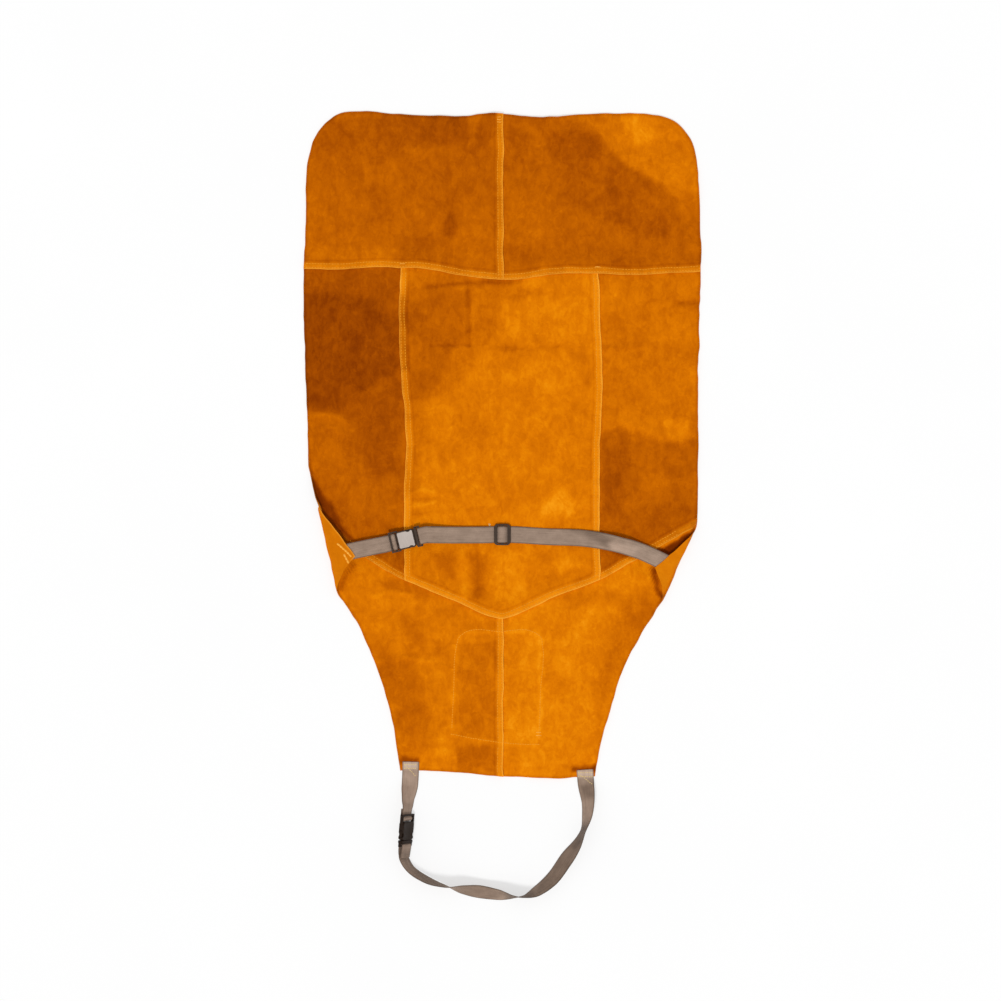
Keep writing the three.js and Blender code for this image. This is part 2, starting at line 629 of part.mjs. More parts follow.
// Webbing along stations, each a middle point and the direction across
function webbingGeometry(stations) {
  const vertices = [];
  const triangles = [];
  stations.forEach(({ point, lateral }, i) => {
    const ahead = stations[Math.min(i + 1, stations.length - 1)].point.clone().sub(point).normalize();
    const behind = stations[Math.max(i - 1, 0)].point.clone().sub(point).normalize();
    const tangent = ahead.sub(behind).normalize();
    const side = lateral.clone().addScaledVector(tangent, -lateral.dot(tangent)).normalize();
    const face = side.clone().cross(tangent);
    for (const [sideways, up] of [[-1, -1], [1, -1], [1, 1], [-1, 1]]) {
      const corner = point.clone().addScaledVector(side, sideways * WEBBING_WIDTH / 2);
      vertices.push(corner.addScaledVector(face, up * WEBBING / 2));
    }
  });
  const ring = i => [0, 1, 2, 3].map(k => 4 * i + k);
  for (let i = 0; i + 1 < stations.length; i += 1) {
    const [a, b, c, d] = ring(i);
    const [e, f, g, h] = ring(i + 1);
    triangles.push([a, f, b], [a, e, f], [b, g, c], [b, f, g]);
    // The upper face is split along the same line as the lower one, so that a twist keeps its thickness
    triangles.push([c, g, d], [d, g, h], [d, e, a], [d, h, e]);
  }
  const [first, last] = [ring(0), ring(stations.length - 1)];
  triangles.push([first[0], first[1], first[2]], [first[0], first[2], first[3]]);
  triangles.push([last[0], last[2], last[1]], [last[0], last[3], last[2]]);
  return geometryFrom(vertices, triangles);
}

// Smooth run of stations through rows of points and directions across, about one every step
function smoothStations(rows, step) {
  const path = new THREE.CatmullRomCurve3(rows.map(row => row.point), false, 'centripetal');
  const sides = new THREE.CatmullRomCurve3(rows.map(row => row.lateral), false, 'centripetal');
  const stations = [];
  rows.slice(1).forEach((row, i) => {
    const length = row.point.distanceTo(rows[i].point);
    const count = Math.max(1, Math.round(length / step));
    for (let k = 0; k < count; k += 1) {
      const t = (i + k / count) / (rows.length - 1);
      stations.push({ point: path.getPoint(t), lateral: sides.getPoint(t).normalize() });
    }
  });
  stations.push({ point: rows.at(-1).point, lateral: rows.at(-1).lateral });
  return stations;
}

// Rows of a laid strap: the direction across turns with the roll, and with no z given it rests on its edge
function laidRows(rows, rollSign = 1) {
  return rows.map(({ x, y, z, roll }, i) => {
    const ahead = rows[Math.min(i + 1, rows.length - 1)];
    const behind = rows[Math.max(i - 1, 0)];
    const heading = at(ahead.x - behind.x, ahead.y - behind.y).normalize();
    const angle = THREE.MathUtils.degToRad(roll) * rollSign;
    const lateral = new THREE.Vector3(-heading.y, heading.x, 0).multiplyScalar(Math.cos(angle));
    lateral.z = -Math.sin(angle);
    const rest = Math.abs(Math.sin(angle)) * WEBBING_WIDTH / 2 + Math.abs(Math.cos(angle)) * WEBBING / 2;
    return { point: new THREE.Vector3(x, y, z ?? rest + LAID_LIFT), lateral };
  });
}

// Frame of a buckle: u along the strap, v across and w up, rolled about u toward +v
function buckleMatrix({ x, y, z, turn, roll }) {
  const place = new THREE.Matrix4().makeTranslation(x, y, z);
  const heading = new THREE.Matrix4().makeRotationZ(THREE.MathUtils.degToRad(turn));
  const tilt = new THREE.Matrix4().makeRotationX(-THREE.MathUtils.degToRad(roll));
  return place.multiply(heading).multiply(tilt);
}

// Rows of a strap inside a buckle or slider, across along v
function localRows(path, matrix, lateralSign = 1) {
  const lateral = new THREE.Vector3(0, lateralSign, 0).transformDirection(matrix);
  return path.map(({ u, w }) => ({ point: new THREE.Vector3(u, 0, w).applyMatrix4(matrix), lateral }));
}

// Rows of a strap sewn under a rolled waist corner
const sewnRows = (rows, roll) => rows.map(({ x, y }) => ({ x, y, z: roll.strapHeight(at(x, y)), roll: 0 }));

const buckleFrames = { waist: buckleMatrix(BUCKLES.waist), neck: buckleMatrix(BUCKLES.neck) };
const sliderFrame = new THREE.Matrix4().makeTranslation(SLIDER_PLACE.x, SLIDER_PLACE.y, SLIDER_PLACE.z);

function waistLeftStations() {
  const sewn = laidRows(sewnRows(WAIST_LEFT_SEWN, rolls.left));
  const ladder = localRows(LADDER_PATH, buckleFrames.waist);
  return [
    ...smoothStations([...sewn, ladder[0]], LAID_STEP).slice(0, -1),
    ...smoothStations(ladder, BENT_STEP),
  ];
}

// The long waist strap runs from the right corner through the slider, round the prong's bar and back below
function waistStations() {
  const laid = laidRows([...sewnRows(WAIST_RIGHT_SEWN, rolls.right), ...WAIST_LAID]);
  const woven = localRows(SLIDER_PATH, sliderFrame, -1);
  const upper = laidRows(WAIST_UPPER);
  const bar = localRows(BAR_PATH, buckleFrames.waist, -1);
  const lower = laidRows(WAIST_LOWER).map(({ point, lateral }) => ({ point, lateral: lateral.negate() }));
  return [
    ...smoothStations([...laid, woven[0]], LAID_STEP).slice(0, -1),
    ...smoothStations(woven, BENT_STEP).slice(0, -1),
    ...smoothStations([woven.at(-1), ...upper, bar[0]], LAID_STEP).slice(0, -1),
    ...smoothStations(bar, BENT_STEP).slice(0, -1),
    ...smoothStations([bar.at(-1), ...lower], LAID_STEP),
  ];
}

function neckLeftStations() {
  const laid = laidRows([...NECK_LEFT_SEWN, ...NECK_LEFT_LAID]);
  const ladder = localRows(LADDER_PATH, buckleFrames.neck);
  return [
    ...smoothStations([...laid, ladder[0]], LAID_STEP).slice(0, -1),
    ...smoothStations(ladder, BENT_STEP),
  ];
}

// The long neck strap starts folded back round the prong's bar and ends sewn on the right of the bib
function neckStations() {
  const bar = localRows([...NECK_FOLD_BACK, ...BAR_PATH], buckleFrames.neck);
  const laid = laidRows([...NECK_LAID, ...NECK_RIGHT_SEWN]);
  return [
    ...smoothStations(bar, BENT_STEP).slice(0, -1),
    ...smoothStations([bar.at(-1), ...laid], LAID_STEP),
  ];
}

// Hard pieces, joined and cut as solids

function solidOf(geometry) {
  const bare = geometry.clone();
  bare.deleteAttribute('normal');
  bare.deleteAttribute('uv');
  const merged = mergeVertices(bare, WELD);
  const mesh = new wasm.Mesh({
    numProp: 3,
    vertProperties: new Float32Array(merged.attributes.position.array),
    triVerts: new Uint32Array(merged.index.array),
  });
  return new wasm.Manifold(mesh);
}

function geometryOf(solid) {
  const { vertProperties, triVerts } = solid.getMesh();
  const geometry = new THREE.BufferGeometry();
  geometry.setAttribute('position', new THREE.BufferAttribute(new Float32Array(vertProperties), 3));
  geometry.setIndex([...triVerts]);
  geometry.computeVertexNormals();
  return geometry;
}

// Box between ranges of u, v and w
function block(u, v, w) {
  const geometry = new THREE.BoxGeometry(u[1] - u[0], v[1] - v[0], w[1] - w[0]);
  return solidOf(geometry.translate((u[0] + u[1]) / 2, (v[0] + v[1]) / 2, (w[0] + w[1]) / 2));
}

// Upright round peg at a place, between heights
function peg(u, v, radius, w) {
  const geometry = new THREE.CylinderGeometry(radius, radius, w[1] - w[0], PEG_SIDES).rotateX(Math.PI / 2);
  return solidOf(geometry.translate(u, v, (w[0] + w[1]) / 2));
}

// Plate with round corners between ranges of u, v and w, edges eased by a bevel
function roundPlate(u, v, w, corner, bevel) {
  const shape = new THREE.Shape();
  const low = at(u[0] + bevel, v[0] + bevel);
  const high = at(u[1] - bevel, v[1] - bevel);
  shape.moveTo(low.x + corner, low.y);
  shape.lineTo(high.x - corner, low.y);
  shape.absarc(high.x - corner, low.y + corner, corner, -Math.PI / 2, 0, false);
  shape.absarc(high.x - corner, high.y - corner, corner, 0, Math.PI / 2, false);
  shape.absarc(low.x + corner, high.y - corner, corner, Math.PI / 2, Math.PI, false);
  shape.absarc(low.x + corner, low.y + corner, corner, Math.PI, Math.PI * 1.5, false);
  const geometry = new THREE.ExtrudeGeometry(shape, {
    depth: w[1] - w[0] - 2 * bevel, curveSegments: 4, bevelEnabled: true, bevelSize: bevel,
    bevelThickness: bevel, bevelSegments: 1,
  });
  return solidOf(geometry.translate(0, 0, w[0] + bevel));
}

const bothSides = (from, to) => [[from, to], [-to, -from]];

// Socket: hollow body with a mouth, side windows and notches, and a ladder of two bars for the webbing
function socketGeometry() {
  const { body, halfWidth, height, wall, rail, corner } = BUCKLE;
  const inside = [wall, height - wall];
  let solid = roundPlate(body, [-halfWidth, halfWidth], [0, height], corner, EASED.socket);
  const mouth = [body[0] + wall, body[1] + BITE];
  solid = solid.subtract(block(mouth, [wall - halfWidth, halfWidth - wall], inside));
  for (const v of bothSides(halfWidth - wall - BITE, halfWidth + BITE)) {
    solid = solid.subtract(block(WINDOW, v, inside));
  }
  for (const side of [-1, 1]) {
    const v = side * (halfWidth + NOTCH.outside);
    solid = solid.subtract(peg(NOTCH.u, v, NOTCH.radius, [-BITE, height + BITE]));
  }
  const railOutside = RAIL_INSIDE + rail;
  const { outer, inner } = LADDER;
  for (const v of bothSides(RAIL_INSIDE, railOutside)) {
    solid = solid.add(block([outer.u[0], body[0] + corner], v, [inner.w[0], outer.w[1]]));
  }
  for (const { u, w } of [outer, inner]) {
    solid = solid.add(block(u, [-railOutside, railOutside], w));
  }
  return geometryOf(solid);
}

// Prong: shoulder, two sprung arms with heads in the socket's windows, a guide, and the bar for the webbing
function prongGeometry() {
  const { halfWidth, height, wall, rail } = BUCKLE;
  const arm = [wall + ARM.play, height - wall - ARM.play];
  const armOutside = halfWidth - wall - HEAD.play;
  const head = [WINDOW[0] + HEAD.play, WINDOW[1] - HEAD.play];
  const railOutside = RAIL_INSIDE + rail;
  const fullWidth = [-railOutside, railOutside];
  const railStart = SHOULDER.u[0] + BITE;
  let solid = roundPlate(SHOULDER.u, [-halfWidth, halfWidth], SHOULDER.w, SHOULDER.corner, EASED.shoulder);
  for (const v of bothSides(armOutside - ARM.thickness, armOutside)) {
    solid = solid.add(block([head[0], ARM.root], v, arm));
  }
  for (const v of bothSides(armOutside - ARM.play, halfWidth - HEAD.sunk)) {
    solid = solid.add(block(head, v, arm));
  }
  solid = solid.add(block(GUIDE.u, [-GUIDE.halfWidth, GUIDE.halfWidth], arm));
  for (const v of bothSides(RAIL_INSIDE, railOutside)) {
    solid = solid.add(block([railStart, PRONG_BAR.u[1]], v, PRONG_RAIL));
  }
  solid = solid.add(block([railStart, SHOULDER.u[1]], fullWidth, PRONG_RAIL));
  solid = solid.add(block(PRONG_BAR.u, fullWidth, PRONG_BAR.w));
  return geometryOf(solid);
}

// Slider: rounded frame with two slots either side of a centre bar
function sliderGeometry() {
  const { half, bar, centreBar, rail, w, corner } = SLIDER;
  const slot = [w[0] - BITE, w[1] + BITE];
  let solid = roundPlate([-half[0], half[0]], [-half[1], half[1]], w, corner, EASED.slider);
  for (const u of bothSides(centreBar, half[0] - bar)) {
    solid = solid.subtract(block(u, [rail - half[1], half[1] - rail], slot));
  }
  return geometryOf(solid);
}

// The assembly

const FINISHES = {
  suede: { color: SUEDE, roughness: 0.95, metalness: 0 },
  tape: { color: TAPE, roughness: 0.8, metalness: 0 },
  plastic: { color: PLASTIC, roughness: 0.35, metalness: 0 },
};

const apron = new THREE.Group();

function addPiece(name, geometry, finish, frame) {
  const mesh = new THREE.Mesh(geometry, new THREE.MeshStandardMaterial(FINISHES[finish]));
  mesh.name = name;
  if (frame) frame.decompose(mesh.position, mesh.quaternion, mesh.scale);
  apron.add(mesh);
}

panels.forEach(({ name }, rank) => addPiece(name, panelGeometry(rank), 'suede'));
addPiece('waist_strap_left', webbingGeometry(waistLeftStations()), 'tape');
addPiece('waist_strap', webbingGeometry(waistStations()), 'tape');
addPiece('neck_strap_left', webbingGeometry(neckLeftStations()), 'tape');
addPiece('neck_strap', webbingGeometry(neckStations()), 'tape');
for (const [place, frame] of Object.entries(buckleFrames)) {
  addPiece(`${place}_buckle_socket`, socketGeometry(), 'plastic', frame);
  addPiece(`${place}_buckle_prong`, prongGeometry(), 'plastic', frame);
}
addPiece('waist_slider', sliderGeometry(), 'plastic', sliderFrame);

// Stand the apron on the floor, centred on the origin
const box = new THREE.Box3().setFromObject(apron, true);
const middle = box.getCenter(new THREE.Vector3());
apron.position.set(-middle.x, -middle.y, -box.min.z);

export default apron;
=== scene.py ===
"""Leather welding apron, laid back up on a pale floor.

Napped suede panels with lapped, stitched seams, webbing straps and moulded buckles are built
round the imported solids, in metres and in the same frame.
"""

from __future__ import annotations

import json
import logging
import math
from dataclasses import dataclass, field
from enum import Enum

import bmesh
import bpy
import numpy as np
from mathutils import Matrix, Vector
from mathutils.bvhtree import BVHTree
from mathutils.kdtree import KDTree

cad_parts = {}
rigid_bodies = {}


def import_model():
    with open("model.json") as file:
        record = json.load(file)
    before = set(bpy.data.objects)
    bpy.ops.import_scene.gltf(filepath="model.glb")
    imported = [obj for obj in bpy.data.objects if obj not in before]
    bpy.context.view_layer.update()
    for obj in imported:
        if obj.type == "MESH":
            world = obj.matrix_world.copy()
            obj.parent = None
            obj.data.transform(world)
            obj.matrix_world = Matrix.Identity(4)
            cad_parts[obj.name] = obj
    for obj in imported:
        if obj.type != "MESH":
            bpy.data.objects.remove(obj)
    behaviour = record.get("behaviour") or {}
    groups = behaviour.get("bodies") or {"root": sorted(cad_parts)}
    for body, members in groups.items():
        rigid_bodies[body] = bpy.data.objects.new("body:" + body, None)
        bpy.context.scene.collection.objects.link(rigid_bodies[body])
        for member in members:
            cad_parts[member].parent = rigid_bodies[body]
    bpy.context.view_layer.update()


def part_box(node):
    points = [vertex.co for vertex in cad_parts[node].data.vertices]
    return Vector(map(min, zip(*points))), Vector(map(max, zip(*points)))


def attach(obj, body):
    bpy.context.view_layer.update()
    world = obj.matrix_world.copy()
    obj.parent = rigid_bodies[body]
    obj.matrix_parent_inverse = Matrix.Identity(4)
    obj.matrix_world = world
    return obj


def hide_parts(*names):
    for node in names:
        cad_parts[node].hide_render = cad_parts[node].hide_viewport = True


LOG = logging.getLogger("apron")
BODY = "root"

MM = 1e-3
WELD = 2e-6

# The photograph's scale and the pixel over the frame's origin, for charts that are read in pixels
PIXEL = 1.515 * MM
ORIGIN_PIXEL = (502.03, 505.88)
FRAME_PIXELS = 1001

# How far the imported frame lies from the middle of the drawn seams, in millimetres
FRAME_SHIFT = (-0.05, 0.57)

Point = tuple[float, float]
Colour = tuple[float, float, float, float]
Stops = tuple[tuple[float, Colour], ...]


def spot(px: float, py: float) -> Point:
    """Place on the floor, in metres, of a pixel of the photograph."""
    return (px - ORIGIN_PIXEL[0]) * PIXEL, (ORIGIN_PIXEL[1] - py) * PIXEL


def tint(red: float, green: float, blue: float) -> Colour:
    """Linear colour of display values from 0 to 255."""
    values = [channel / 255 for channel in (red, green, blue)]
    linear = [v / 12.92 if v <= 0.04045 else ((v + 0.055) / 1.055) ** 2.4 for v in values]
    return linear[0], linear[1], linear[2], 1.0


def smoothstep(low: float, high: float, value: np.ndarray) -> np.ndarray:
    """Smooth rise from 0 at low to 1 at high."""
    t = np.clip((value - low) / (high - low), 0.0, 1.0)
    return t * t * (3.0 - 2.0 * t)


def lattice_noise(places: np.ndarray, cell: float, seed: int) -> np.ndarray:
    """Smooth noise on a square lattice.

    Args:
        places: Points in the plane, one a row.
        cell: Size of a lattice cell, in metres.
        seed: Seed of the lattice's values.

    Returns:
        A value from -1 to 1 for each point.
    """
    size = 128
    values = np.random.default_rng(seed).uniform(-1.0, 1.0, (size, size))
    scaled = places[:, :2] / cell + size
    low = np.floor(scaled).astype(int)
    part = scaled - low
    part = part * part * (3.0 - 2.0 * part)
    x0, y0 = low[:, 0] % size, low[:, 1] % size
    x1, y1 = (x0 + 1) % size, (y0 + 1) % size
    near = values[x0, y0] * (1 - part[:, 0]) + values[x1, y0] * part[:, 0]
    far = values[x0, y1] * (1 - part[:, 0]) + values[x1, y1] * part[:, 0]
    return near * (1 - part[:, 1]) + far * part[:, 1]


@dataclass(frozen=True)
class Layer:
    """One layer of lattice noise: the size of its cells in metres, its seed and its strength."""

    cell: float
    seed: int
    strength: float = 1.0


def layered_noise(places: np.ndarray, layers: tuple[Layer, ...]) -> np.ndarray:
    """Sum of the layers of noise at each place."""
    return sum(layer.strength * lattice_noise(places, layer.cell, layer.seed) for layer in layers)


def point_tree(places: np.ndarray) -> KDTree:
    """Search tree of points."""
    tree = KDTree(len(places))
    for index, place in enumerate(places):
        tree.insert(place, index)
    tree.balance()
    return tree


def distance_to_path(places: np.ndarray, path: np.ndarray) -> np.ndarray:
    """Distance in the plane from each point to a line of points.

    Args:
        places: Points, one a row.
        path: Points of the line, one a row.

    Returns:
        One distance a point, in metres.
    """
    nearest = np.full(len(places), np.inf)
    for start, end in zip(path[:-1], path[1:]):
        along = end - start
        reach = np.clip(((places[:, :2] - start) @ along) / max(along @ along, 1e-12), 0.0, 1.0)
        foot = start + reach[:, None] * along
        nearest = np.minimum(nearest, np.linalg.norm(places[:, :2] - foot, axis=1))
    return nearest


def smooth_path(points: np.ndarray, step: float) -> np.ndarray:
    """Points about a step apart on a smooth curve through rows of numbers.

    Args:
        points: Rows that the curve passes; the first two or three columns are its place.
        step: Spacing of the points that come back, in metres.

    Returns:
        The curve's rows, with the same columns.
    """
    spans = np.linalg.norm(np.diff(points[:, :3], axis=0), axis=1)
    stations = np.concatenate([[0.0], np.cumsum(spans)])
    tangents = np.gradient(points, stations, axis=0)
    wanted = np.linspace(0.0, stations[-1], max(2, int(round(stations[-1] / step)) + 1))
    index = np.clip(np.searchsorted(stations, wanted, side="right") - 1, 0, len(points) - 2)
    span = spans[index][:, None]
    t = ((wanted - stations[index]) / spans[index])[:, None]
    start = (1 + 2 * t) * (1 - t) ** 2 * points[index]
    leave = t * (1 - t) ** 2 * span * tangents[index]
    end = t * t * (3 - 2 * t) * points[index + 1]
    arrive = t * t * (t - 1) * span * tangents[index + 1]
    return start + leave + end + arrive


def pixels(*points: Point) -> np.ndarray:
    """Places on the floor of a row of pixels of the photograph."""
    return np.array([spot(*point) for point in points])


class Seam(Enum):
    """The raw edges that lap over another panel, each with the lapping panel on its left."""

    CROSS = "cross"
    WAIST = "waist"
    LEFT = "left"
    RIGHT = "right"
    HEM_CENTRE = "hem centre"
    BIB_CENTRE = "bib centre"

    def path(self, sewn: bool = False) -> np.ndarray:
        """Points along the raw edge, in metres.

        Args:
            sewn: Whether the path keeps to the stretch with stitches in sight.

        Returns:
            Points in the plane, one a row.
        """
        rows, level, span = SEAM_LINES[self]
        points = np.array(rows, float)
        key = points[:, 0] if level else points[:, 1]
        value = points[:, 1] if level else points[:, 0]
        order = np.argsort(key)
        ends = span if sewn else (key.min(), key.max())
        wanted = np.linspace(*ends, 120)
        found = curve_value(key[order], value[order], wanted)
        columns = (wanted, found) if level else (found, wanted)
        path = (np.column_stack(columns) + np.array(FRAME_SHIFT)) * MM
        return path if key[0] < key[-1] else path[::-1]


# Drawn points of the raw edges in millimetres, whether they run level, and the stretch in sight
SEAM_LINES: dict[Seam, tuple[tuple[Point, ...], bool, tuple[float, float]]] = {
    Seam.CROSS: (
        (
            (-303, 358), (-245, 357), (-190, 360), (-124, 358.5), (-76, 351), (-26, 343.5),
            (30, 343), (73, 349), (110, 352), (149, 350.5), (209, 349.5), (301, 353.5),
        ),
        True,
        (-298, 298),
    ),
    Seam.WAIST: (
        (
            (-305, -3), (-277, -22), (-238, -57), (-197, -85), (-160, -107), (-101, -132), (-41, -159),
            (-3, -171.5), (24, -165), (65, -144), (125, -121.5), (148.5, -112.5), (186, -92), (239, -62),
            (297, -30),
        ),
        True,
        (-236, 268),
    ),
    Seam.LEFT: (
        (
            (-152.5, 375), (-156.5, 290), (-152.5, 198), (-147, 130), (-145.5, 84), (-148.5, 5), (-148, -120),
        ),
        False,
        (-106, 354),
    ),
    Seam.RIGHT: (((149.5, -120), (148, 80), (152, 180), (145, 375)), False, (-108, 346)),
    Seam.HEM_CENTRE: (((2, 344), (2, 470), (2, 594)), False, (347, 588)),
    Seam.BIB_CENTRE: (((2, -409), (2, -290), (2, -172)), False, (-404, -176)),
}


def curve_value(key: np.ndarray, value: np.ndarray, wanted: np.ndarray) -> np.ndarray:
    """Values of a smooth curve through points whose keys rise.

    Args:
        key: Keys of the points.
        value: Values of the points.
        wanted: Keys to read the curve at.

    Returns:
        One value a wanted key.
    """
    before, after = np.r_[0, : len(key) - 1], np.r_[1 : len(key), len(key) - 1]
    slope = (value[after] - value[before]) / (key[after] - key[before])
    i = np.clip(np.searchsorted(key, wanted, side="right") - 1, 0, len(key) - 2)
    span = key[i + 1] - key[i]
    t = (wanted - key[i]) / span
    start = (1 + 2 * t) * (1 - t) ** 2 * value[i] + t * (1 - t) ** 2 * span * slope[i]
    return start + t * t * (3 - 2 * t) * value[i + 1] + t * t * (t - 1) * span * slope[i + 1]


def offset_path(path: np.ndarray, distance: float) -> np.ndarray:
    """The line beside a line in the plane, at a distance to its left."""
    tangent = np.gradient(path, axis=0)
    tangent /= np.linalg.norm(tangent, axis=1)[:, None]
    return path + distance * np.column_stack([-tangent[:, 1], tangent[:, 0]])


# Materials


class NodeSketch:
    """Wires the nodes of one material round a Principled shader."""

    def __init__(self, name: str) -> None:
        """Makes an empty material with a shader and an output."""
        self.material = bpy.data.materials.new(name)
        self.material.use_nodes = True
        self.tree = self.material.node_tree
        self.tree.nodes.clear()
        self.shader = self.tree.nodes.new("ShaderNodeBsdfPrincipled")
        output = self.tree.nodes.new("ShaderNodeOutputMaterial")
        self.tree.links.new(self.shader.outputs["BSDF"], output.inputs["Surface"])
        self.place = self.add("ShaderNodeTexCoord").outputs["Object"]

    def add(self, kind: str, **settings: object) -> bpy.types.Node:
        """Adds a node and sets its properties."""
        node = self.tree.nodes.new(kind)
        for name, value in settings.items():
            setattr(node, name, value)
        return node

    def feed(self, target: bpy.types.NodeSocket, value: object) -> None:
        """Gives an input a value, or links a socket to it."""
        if isinstance(value, bpy.types.NodeSocket):
            self.tree.links.new(value, target)
        else:
            target.default_value = value

    def set(self, **values: object) -> None:
        """Feeds the shader's inputs, spaces in their names written as underscores."""
        for name, value in values.items():
            self.feed(self.shader.inputs[name.replace("_", " ")], value)

    def attribute(self, name: str) -> bpy.types.NodeSocket:
        """Value of a mesh attribute."""
        return self.add("ShaderNodeAttribute", attribute_name=name).outputs["Fac"]

    def math(self, operation: str, *values: object, clamp: bool = False) -> bpy.types.NodeSocket:
        """Result of a Math node."""
        node = self.add("ShaderNodeMath", operation=operation, use_clamp=clamp)
        for target, value in zip(node.inputs, values):
            self.feed(target, value)
        return node.outputs["Value"]

    def between(self, low: float, high: float, value: bpy.types.NodeSocket) -> bpy.types.NodeSocket:
        """Smooth rise from 0 to 1 between two values."""
        node = self.add("ShaderNodeMapRange", interpolation_type="SMOOTHSTEP")
        for name, given in (("Value", value), ("From Min", low), ("From Max", high)):
            self.feed(node.inputs[name], given)
        return node.outputs["Result"]

    def fall(self, low: float, high: float, value: bpy.types.NodeSocket) -> bpy.types.NodeSocket:
        """Smooth fall from 1 to 0 between two values."""
        return self.math("SUBTRACT", 1.0, self.between(low, high, value))

    def stretch(self, scale: tuple[float, float, float], vector: object = None) -> bpy.types.NodeSocket:
        """Coordinates scaled along each axis."""
        node = self.add("ShaderNodeMapping")
        self.feed(node.inputs["Vector"], self.place if vector is None else vector)
        node.inputs["Scale"].default_value = scale
        return node.outputs["Vector"]

    def noise(
        self,
        scale: float,
        detail: float = 3.0,
        roughness: float = 0.55,
        vector: object = None,
        bend: float = 0.0,
    ) -> bpy.types.NodeSocket:
        """Noise of a scale per metre, about 0.5.

        Args:
            scale: Cells per metre.
            detail: Finer layers of the noise.
            roughness: How strong they are.
            vector: Coordinates, the object's own if none are given.
            bend: How much the noise is distorted.

        Returns:
            The noise's value.
        """
        node = self.add("ShaderNodeTexNoise")
        self.feed(node.inputs["Vector"], self.place if vector is None else vector)
        settings = {"Scale": scale, "Detail": detail, "Roughness": roughness, "Distortion": bend}
        for name, value in settings.items():
            node.inputs[name].default_value = value
        return node.outputs["Fac"]

    def mix(self, factor: object, first: object, second: object) -> bpy.types.NodeSocket:
        """Mix of two colours."""
        node = self.add("ShaderNodeMix", data_type="RGBA")
        self.feed(node.inputs["Factor"], factor)
        colours = [socket for socket in node.inputs if socket.type == "RGBA"]
        self.feed(colours[0], first)
        self.feed(colours[1], second)
        return next(socket for socket in node.outputs if socket.type == "RGBA")

    def ramp(self, value: bpy.types.NodeSocket, stops: Stops) -> bpy.types.NodeSocket:
        """Colour along a ramp of stops, each at its value."""
        node = self.add("ShaderNodeValToRGB")
        low, reach = stops[0][0], stops[-1][0] - stops[0][0]
        elements = node.color_ramp.elements
        while len(elements) < len(stops):
            elements.new(1.0)
        for element, (position, colour) in zip(elements, stops):
            element.position = (position - low) / reach
            element.color = colour
        self.feed(node.inputs["Fac"], self.math("MULTIPLY_ADD", value, 1.0 / reach, -low / reach))
        return node.outputs["Color"]

    def bump(
        self, height: object, strength: float, distance: float, normal: object = None
    ) -> bpy.types.NodeSocket:
        """Bumped normal from a height."""
        node = self.add("ShaderNodeBump")
        node.inputs["Strength"].default_value = strength
        node.inputs["Distance"].default_value = distance
        self.feed(node.inputs["Height"], height)
        if normal is not None:
            self.feed(node.inputs["Normal"], normal)
        return node.outputs["Normal"]


